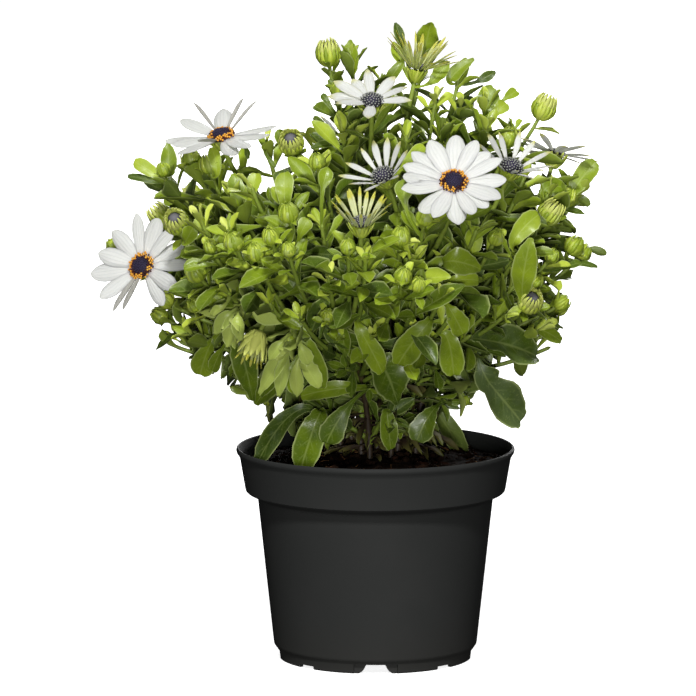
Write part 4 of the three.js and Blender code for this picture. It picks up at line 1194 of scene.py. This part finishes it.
def bract_section(half, bulge, start):
    """A narrow scale: broad at its foot, drawn to a point, bent round what it covers."""
    def section(share, aside, upward):
        reach = half * math.sin(math.pi * min(1.0, share * (1 - start) + start)) ** 0.7
        return reach * aside, 0.3 * upward - bulge * reach * aside * aside
    return section


def any_side(direction):
    side = direction.cross(UP)
    if side.length < 0.2:
        side = direction.cross(ASIDE)
    return side.normalized()


def ring_of(count, direction):
    """Directions square to a given one, evenly round it, with each one's order."""
    side = any_side(direction)
    other = direction.cross(side)
    for order in range(count):
        turn = order * 2 * math.pi / count
        yield order, side * math.cos(turn) + other * math.sin(turn)


def grow_bud(growth, shoot):
    """A round bud: a core with narrow bracts that close over it. An opening one is a cup round its disc."""
    draw = seeded_draws(BUD_SEED + shoot.index)
    tip, direction, is_facing = shoot.tip, shoot.direction, shoot.kind == "facing"
    is_open = is_facing or shoot.kind == "opening"
    size = BUD_SIZE[shoot.kind] * (1.0 if is_open else 0.62 + 0.36 * draw())
    core = Path(tip - direction * size * 0.9, tip, tip + direction * size * (0.6 if is_open else 0.8))
    growth.lay(CORE_BLANK, core, any_side(direction), bulging(size * 0.92), 0.45, 0.3)
    for order, out in ring_of(BUD_BRACTS, direction):
        is_inner = order % 2
        flare = 0.86 if is_open else 0.14 + 0.3 * draw() * (1 - is_inner)
        top = 0.6 + 0.4 * draw() if is_open else 0.76 + 0.3 * draw()
        foot = tip - direction * size * 0.88 + out * size * 0.3
        belly = tip - direction * size * 0.2 + out * size * 1.48
        head = tip + direction * size * top + out * size * flare
        section, age = bract_section(size * 0.27, 0.2, 0.15), (0.02 if is_facing else 0.16) + 0.34 * draw()
        growth.lay(BRACT_BLANK, Path(foot, belly, head), out - direction * 0.2, section, age, draw())
    if not is_open:
        return
    dome = Path(*[tip + direction * size * level for level in (0.4, 0.8, 1.1)])
    growth.lay(YOUNG_DISC_BLANK, dome, any_side(direction), bulging(size * 0.6, 0.5), 0.0,
               0.49 if is_facing else 0.0)
    for order, out in ring_of(YOUNG_PETALS, direction):
        foot = tip - direction * size * 0.1 + out * size * 0.74
        belly = tip + direction * size * 0.9 + out * size * (1.14 + 0.1 * draw())
        head = tip + direction * size * (1.3 + 0.3 * draw()) + out * size * (0.46 + 0.24 * draw())
        growth.lay(BRACT_BLANK, Path(foot, belly, head), -out, bract_section(1.25, 0.0, 0.25), -0.2, 0.0)


def grow_cup(growth, bloom, order):
    """The green cup under a bloom: a cone on the stalk with a ring of narrow bracts, long on a wilted one."""
    draw = seeded_draws(CUP_SEED + order)
    is_wilted = bloom.look == "wilted"
    reach = WILTED_CUP_REACH if is_wilted else min(bloom.kind.valley, CUP_REACH)
    foot, rim = bloom.origin - bloom.facing * INVOLUCRE_DEPTH, bloom.origin - bloom.facing * 0.2
    growth.lay(CORE_BLANK, Path(foot, foot.lerp(rim, 0.5), rim), any_side(bloom.facing),
               round_section(lambda share: reach * (0.35 + 0.55 * share ** 0.6)), 0.2, 0.4)
    for _, out in ring_of(CUP_BRACTS, bloom.facing):
        longer = 6 * draw() + 3 if is_wilted else 0.6 + draw()
        start = foot + out * reach * 0.35
        belly = foot.lerp(rim, 0.45) + out * reach * 1.02
        head = rim + bloom.facing * longer + out * reach * (1.2 + (0.5 if is_wilted else 0.25) * draw())
        if is_wilted:
            section, age, tone = bract_section(0.55 * reach, 0.1, 0.2), -0.25 + 0.25 * draw(), 0.0
        else:
            section, age, tone = bract_section(0.24 * reach, 0.0, 0.2), 0.05 + 0.2 * draw(), draw()
        growth.lay(BRACT_BLANK, Path(start, belly, head), out, section, age, tone)


def grow_litter(growths):
    """Thin twigs and dried, rolled leaves that hang among the stems near the soil."""
    draw = seeded_draws(LITTER_SEED)
    for index in range(LITTER):
        stem = index % STEMS
        start = stems[stem].spot(0.05 + 0.33 * draw())
        out = polar(1, 2 * math.pi * draw())
        reach = 7 + 15 * draw()
        bend = start + out * reach * 0.5 + UP * (reach * (draw() - 0.25))
        end = start + out * reach * (0.7 + 0.4 * draw()) - UP * (reach * (0.7 * draw() - 0.1))
        end.z = max(end.z, soil_height_at(math.hypot(end.x, end.y)) + 1)
        half = 1.2 + 1.3 * draw()
        is_twig = index % 3 == 0
        section = tapered(*TWIG_RADII) if is_twig else leaf_section(2 * half, 0.9, 0.1, 6 * draw())
        growths[stem].lay(TWIG_BLANK, Path(start, bend, end), UP, section, 1.1 + 0.3 * draw(), draw(),
                          2 * draw())


# ---- Blooms ------------------------------------------------------------------------------------------

# A petal is broadest at this share of its length, and its root goes this far under the disc.
PETAL_BROADEST = 0.62
PETAL_ROOT = 3.4
# How unevenly petals rise, in degrees.
PETAL_SPILL = {"open": 6, "spray": 34}
ANY_SPILL = 10
# Petals that rise more than this, in degrees, stand round the disc, or are upright.
RAISED = 30
UPRIGHT = 60
FLORETS = 150
YOUNG_FLORETS = 70
# The florets outside this share of an open disc are open, and this share of them has no pollen.
OPEN_FROM = 0.62
BARE_SHARE = 0.52


def petal_outline(share, point):
    """A petal's half breadth: narrow at the disc, broadest past the middle, then round or pointed."""
    broad = 0.4 + 0.6 * math.sin(math.pi / 2 * min(1.0, share / PETAL_BROADEST)) ** 1.3
    past = max(0.0, (share - PETAL_BROADEST) / 0.38)
    return broad * max(0.0, 1 - past ** 2.2) ** (0.5 * point)


def petal_section(breadth, groove, cup, point, notch):
    def section(share, aside, upward):
        half = breadth / 2 * petal_outline(share, point)
        ridge = -groove * math.cos(2 * math.pi * aside) * math.sin(math.pi * share)
        onward = notch * (math.cos(2 * math.pi * aside) - 1) * max(0.0, share - 0.8) / 0.2
        return half * aside, 0.22 * upward * (1 - 0.6 * share) + ridge + cup * half * aside * aside, onward
    return section


def risen(out, angle):
    return out * math.cos(angle) + UP * math.sin(angle)


def grow_petals(growth, bloom, seed):
    kind, placing = bloom.kind, bloom.placing
    draw = seeded_draws(seed)
    for petal in range(kind.petals):
        reach, broad = 0.86 + 0.22 * draw(), 0.74 + 0.4 * draw()
        drawn = [draw() - 0.5 for _ in range(4)]
        if petal in FALLEN.get(bloom.name, ()):
            continue
        is_rolled = petal in ROLLED.get(bloom.name, ())
        out = polar(1, petal / kind.petals * 2 * math.pi + 0.2 * drawn[0])
        spilt = kind.rise + PETAL_SPILL.get(bloom.look, ANY_SPILL) * drawn[1]
        start_rise = math.radians(spilt + (3 if petal % 2 else -2) + (16 if is_rolled else 0))
        full = kind.length * reach + PETAL_ROOT
        end_rise = start_rise - math.radians(kind.curl * full * (1 + drawn[2]))
        aside = Vector((-out.y, out.x, 0)) * drawn[3] * 2.4
        root_reach = kind.valley - PETAL_ROOT * math.cos(start_rise)
        if kind.rise > RAISED:
            root_reach = max(root_reach, kind.disc * 0.98)
        root = out * root_reach + UP * (0.3 + 0.25 * (petal % 2))
        bend = root + risen(out, start_rise) * full * 0.5
        tip = bend + risen(out, end_rise) * full * 0.5 + aside
        face = placing @ UP - placing @ out * 0.01
        if kind.rise > UPRIGHT:
            face = placing @ (UP * 0.3 - out)
        breadth = kind.breadth * broad * (0.32 if is_rolled else 1)
        cup = 0.9 if is_rolled else -0.1 - 0.25 * drawn[3] + 0.5 * kind.green
        point = kind.point * (1 + 0.6 * drawn[2])
        section = petal_section(breadth, 0.2, cup, point, 0.5 * (drawn[3] + 0.5))
        # A rolled petal gets a tone of 2, which its material paints grey, partly as shade.
        growth.lay(PETAL_BLANK, bloom.path(root, bend, tip), face, section, kind.green, 2 if is_rolled else 0,
                   0.5 * drawn[1])


def grow_florets(growth, bloom, seed):
    """Florets set by the golden angle on the disc's dome. The outer ones are open, with pollen."""
    disc, dome, placing = bloom.kind.disc, bloom.kind.dome, bloom.placing
    is_open = bloom.look in ("open", "loose")
    base = bloom.path(UP * 0.3, UP * 1.0, UP * (1.3 + dome * 0.7))
    growth.lay(CORE_BLANK, base, placing @ Vector((0, 1, 0)), round_section(
        lambda share: disc * 0.95 * (1 - share ** 2) ** 0.5 if share > 0 else 0.0), 0.0, 0.0)
    draw = seeded_draws(seed)
    count = FLORETS if is_open else YOUNG_FLORETS
    for index in range(count):
        share = math.sqrt((index + 0.5) / count)
        out = polar(1, index * GOLDEN_ANGLE)
        radius = disc * share * (1.04 if is_open else 1.0)
        level = 1.2 + dome * 0.75 * (1 - share * share)
        is_outer = is_open and share > OPEN_FROM
        has_pollen = is_outer and draw() > BARE_SHARE
        tall = (1.7 if has_pollen else 1.15) + 0.4 * draw()
        lean = (0.55 if is_outer else 0.35) * share
        foot = out * radius + UP * (level - 0.7)
        head = foot + (UP + out * lean).normalized() * tall
        wide = (0.52 if has_pollen else 0.42) * (disc / 6.6) ** 0.5
        section = round_section(lambda share: wide * (0.65 + 0.5 * share))
        across = placing @ Vector((-out.y, out.x, 0))
        growth.lay(FLORET_BLANK, bloom.path(foot, foot.lerp(head, 0.5), head), across, section,
                   1.0 if has_pollen else 0.5 * is_outer, 0.0 if is_open else 1.0)


# ---- Pot ---------------------------------------------------------------------------------------------

POT_STEPS = 160
POT_PROFILE = [
    (0, 0), (16.6, 0), (17.0, 0.4), (17.6, 4.6), (43.6, 4.6), (43.6, 0.4), (44.0, 0), (45.3, 0),
    (45.8, 0.5), (46.3, 4.4), (46.5, 4.9), (47.3, 5.8), (47.8, 6.6), (47.95, 7.4), (55.3, 75.2),
    (55.5, 76.3), (56.1, 77.0), (58.5, 78.2), (60.5, 79.2), (61.1, 79.8), (61.3, 80.7), (63.7, 94.8),
    (64.0, 95.8), (64.7, 96.9), (65.3, 97.8), (65.5, 98.7), (65.3, 99.5), (64.8, 99.95), (64.3, 99.8),
    (63.8, 98.9), (62.9, 97.2), (62.4, 95.5), (60.0, 80.9), (54.1, 77.4), (46.5, 7.8), (44.5, 6.2),
    (16.3, 6.2), (15.7, 1.8), (0, 1.8),
]
DRAINS = 4
# Half a drain's outline, across and up: it flares towards the ground.
DRAIN_OUTLINE = [(9, -1), (7.6, 0.2), (6.3, 1.0), (5.4, 2.2), (4.7, 3.6), (4.2, 4.4)]
DRAIN_FROM = 50
DRAIN_DEPTH = 10
NOTCH_RADIUS = 45
NOTCH_SIZE = (9, 10, 3.2)
# The cheeks' turn round the pot, their section as radius and height, and their steps.
CHEEK_TURN = math.radians(25.7)
CHEEK_SECTION = [(44.8, -1), (49, -1), (49, 4.4), (44.8, 4.4)]
CHEEK_STEPS = 10


def turned(angle):
    return Matrix.Rotation(angle, 4, "Z")


def spun(profile, steps):
    """A profile of radius and height turned about the upright axis into a closed body."""
    body = bmesh.new()
    verts = [body.verts.new((radius, 0, height)) for radius, height in profile]
    edges = [body.edges.new(pair) for pair in zip(verts, verts[1:])]
    bmesh.ops.spin(body, geom=verts + edges, cent=(0, 0, 0), axis=(0, 0, 1), angle=2 * math.pi, steps=steps,
                   use_merge=True)
    bmesh.ops.remove_doubles(body, verts=body.verts, dist=0.001)
    bmesh.ops.recalc_face_normals(body, faces=body.faces)
    put_in_order(body)
    return body


def drain_blocks():
    """Blocks through the skirt: four flared drains, one of them at the front, and four low notches."""
    body = bmesh.new()
    outline = DRAIN_OUTLINE + [(-across, up) for across, up in reversed(DRAIN_OUTLINE)]
    for drain in range(DRAINS):
        turn = turned(drain * 2 * math.pi / DRAINS)
        front = body.faces.new([body.verts.new((across, -DRAIN_FROM, up)) for across, up in outline])
        pushed = bmesh.ops.extrude_face_region(body, geom=[front])["geom"]
        back = [part for part in pushed if isinstance(part, bmesh.types.BMVert)]
        bmesh.ops.translate(body, vec=(0, DRAIN_DEPTH, 0), verts=back)
        bmesh.ops.transform(body, matrix=turn, verts=list(front.verts) + back)
        between = turn @ turned(math.pi / DRAINS)
        place = between @ Matrix.Translation((0, -NOTCH_RADIUS, 0)) @ Matrix.Diagonal((*NOTCH_SIZE, 1))
        bmesh.ops.create_cube(body, size=1, matrix=place)
    return body


def cheek_blocks():
    """Curved blocks that set the skirt back a little on both sides of each drain."""
    body = bmesh.new()
    for drain in range(DRAINS):
        start = turned(drain * 2 * math.pi / DRAINS - CHEEK_TURN / 2)
        corners = [start @ Vector((0, -reach, height)) for reach, height in CHEEK_SECTION]
        face = body.faces.new([body.verts.new(corner) for corner in corners])
        bmesh.ops.spin(body, geom=[face], cent=(0, 0, 0), axis=(0, 0, 1), angle=CHEEK_TURN, steps=CHEEK_STEPS)
    return body


def cut_away(piece, body):
    """Cuts a body of blocks out of a piece and puts the result into its mesh."""
    bmesh.ops.recalc_face_normals(body, faces=body.faces)
    put_in_order(body)
    bmesh.ops.scale(body, vec=(MM, MM, MM), verts=body.verts)
    blocks = in_scene("blocks", mesh_of("blocks", body))
    cut = piece.modifiers.new("cut", "BOOLEAN")
    cut.object = blocks
    cut.operation = "DIFFERENCE"
    shaped = bpy.data.meshes.new_from_object(piece.evaluated_get(bpy.context.evaluated_depsgraph_get()))
    piece.modifiers.clear()
    piece.data = shaped
    bpy.data.objects.remove(blocks)


def make_pot():
    pot = finished("pot_shell", spun(POT_PROFILE, POT_STEPS), [pot_finish()], ["pot"])
    cut_away(pot, drain_blocks())
    cut_away(pot, cheek_blocks())
    for polygon in pot.data.polygons:
        polygon.use_smooth = True
    pot.data.set_sharp_from_angle(angle=POT_FOLD_ANGLE)


# ---- Soil --------------------------------------------------------------------------------------------

SOIL_RADIUS = 61.6
SOIL_RINGS = 44
SOIL_STEPS = 150
# The bed's sides and underside, as radius and height.
SOIL_SIDES = [(59.5, 80.6), (53.7, 77.4), (46.1, 8.2), (44.1, 6.6), (15.9, 6.6), (15.3, 2.2), (0, 2.2)]
# Inside this radius and above this height the bed has its relief.
RELIEF_RADIUS = 61
RELIEF_FROM = SOIL_EDGE_HEIGHT - 1
CRUMBS = 520
CRUMBS_REACH = 60
FIBRES = 70
FIBRES_REACH = 56


def make_bed():
    radii = [SOIL_RADIUS * ring / SOIL_RINGS for ring in range(SOIL_RINGS + 1)]
    body = spun([(radius, soil_height_at(radius)) for radius in radii] + SOIL_SIDES, SOIL_STEPS)
    for vert in body.verts:
        if vert.co.z > RELIEF_FROM and math.hypot(vert.co.x, vert.co.y) < RELIEF_RADIUS:
            vert.co.z += 1.5 * noise.noise(vert.co * 0.11) + 1.1 * noise.noise(vert.co * 0.42)
            vert.co.z += 0.5 * noise.noise(vert.co * 1.1)
    finish = peat_finish("peat", tint(12, 8, 6), tint(32, 23, 16), tint(66, 34, 24))
    finished("peat_bed", body, [finish], ["soil"])


def make_crumbs(draw):
    crumbs = bmesh.new()
    for _ in range(CRUMBS):
        radius, angle = CRUMBS_REACH * math.sqrt(draw()), 2 * math.pi * draw()
        size = 0.7 + 1.7 * draw() ** 3
        made = bmesh.ops.create_icosphere(crumbs, subdivisions=1, radius=size)["verts"]
        centre = polar(radius, angle, soil_height_at(radius) + 0.4 * size)
        stretch = Vector((0.7 + 0.6 * draw(), 0.7 + 0.6 * draw(), 0.5 + 0.4 * draw()))
        for vert in made:
            jitter = 1 + 0.35 * noise.noise(vert.co * 2.0 + centre)
            vert.co = Vector([a * b * jitter for a, b in zip(vert.co, stretch)]) + centre
    finish = peat_finish("crumbs", tint(18, 12, 8), tint(44, 30, 21), tint(84, 44, 30))
    finished("peat_crumbs", crumbs, [finish], smooth=False)


def make_fibres(draw):
    fibres = Growth()
    for _ in range(FIBRES):
        radius, angle = FIBRES_REACH * math.sqrt(draw()), 2 * math.pi * draw()
        start = polar(radius, angle, soil_height_at(radius) + 0.8)
        way = polar(1, 2 * math.pi * draw())
        end = start + way * (3 + 7 * draw())
        end.z = soil_height_at(math.hypot(end.x, end.y)) + 0.7
        middle = start.lerp(end, 0.5) + Vector((1.5 * (draw() - 0.5), 1.5 * (draw() - 0.5), 1.8 * draw()))
        fibres.lay(BRACT_BLANK, Path(start, middle, end), UP, tapered(*FIBRE_RADII))
    finish = peat_finish("fibres", tint(70, 50, 34), tint(120, 88, 58), tint(96, 60, 40))
    finished("peat_fibres", fibres.body, [finish])


def make_soil():
    make_bed()
    draw = seeded_draws(SOIL_SEED)
    make_crumbs(draw)
    make_fibres(draw)


# ---- Growing the whole plant -------------------------------------------------------------------------

def grow_large_leaves(growths, shoots):
    """Each kind of large leaf counts on from a number of its own, which gives its leaves their draws."""
    places = [(shoot.stem, shoot.path.spot(share)) for shoot in shoots for share in ROOT_SHARES]
    places += [(index, stem.spot(share)) for index, stem in enumerate(stems) for share in ROOT_SHARES]
    for kind, first, leaves in (
            ("lobed", 0, FRONT_LOBED_LEAVES), ("pale", 100, FRONT_PALE_LEAVES),
            ("plain", 10, FRONT_LEAVES + back_leaves())):
        for order, leaf in enumerate(leaves, first):
            grow_large_leaf(growths, places, leaf, kind, order)


def grow_foliage():
    shoots = plan_shoots()
    growths = [Growth() for _ in stems]
    for shoot in shoots:
        grow_leaves(growths[shoot.stem], shoot)
    grow_large_leaves(growths, shoots)
    for index, (growth, stem) in enumerate(zip(growths, stems)):
        growth.lay(STEM_BLANK, stem, Vector((0.3, 1, 0)), knotted(*STEM_RADII, index), 1.0, 0.5)
    for shoot in shoots:
        radii, age = (STALK_RADII, 0.12) if shoot.kind == "stalk" else (SHOOT_RADII, 0.3)
        growths[shoot.stem].lay(SHOOT_BLANK, shoot.path, any_side(shoot.direction), tapered(*radii), age, 0.5)
    grow_litter(growths)
    for shoot in shoots:
        if BUD_SIZE[shoot.kind]:
            grow_bud(growths[shoot.stem], shoot)
    for bloom, shoot in zip(BLOOMS, shoots):
        grow_cup(growths[shoot.stem], bloom, shoot.index)
    return growths


def grow_plant():
    growths = grow_foliage()
    petal, floret = petal_finish(), floret_finish()
    finishes = [leaf_finish(), stem_finish(), floret]
    for number, growth in enumerate(growths, 1):
        finished(f"foliage_{number:02d}", growth.body, finishes, [f"leafy_stem_{number:02d}"])
    for index, bloom in enumerate(BLOOMS):
        petals, florets = Growth(), Growth()
        grow_petals(petals, bloom, BLOOM_SEED + index)
        grow_florets(florets, bloom, FLORET_SEED + index)
        finished(f"petals_{bloom.name}", petals.body, [petal], [f"bloom_{bloom.name}_petals"])
        finished(f"florets_{bloom.name}", florets.body, [floret], [f"bloom_{bloom.name}_disc"])


set_camera()
set_room()
set_lights()
make_floor()
make_pot()
make_soil()
grow_plant()
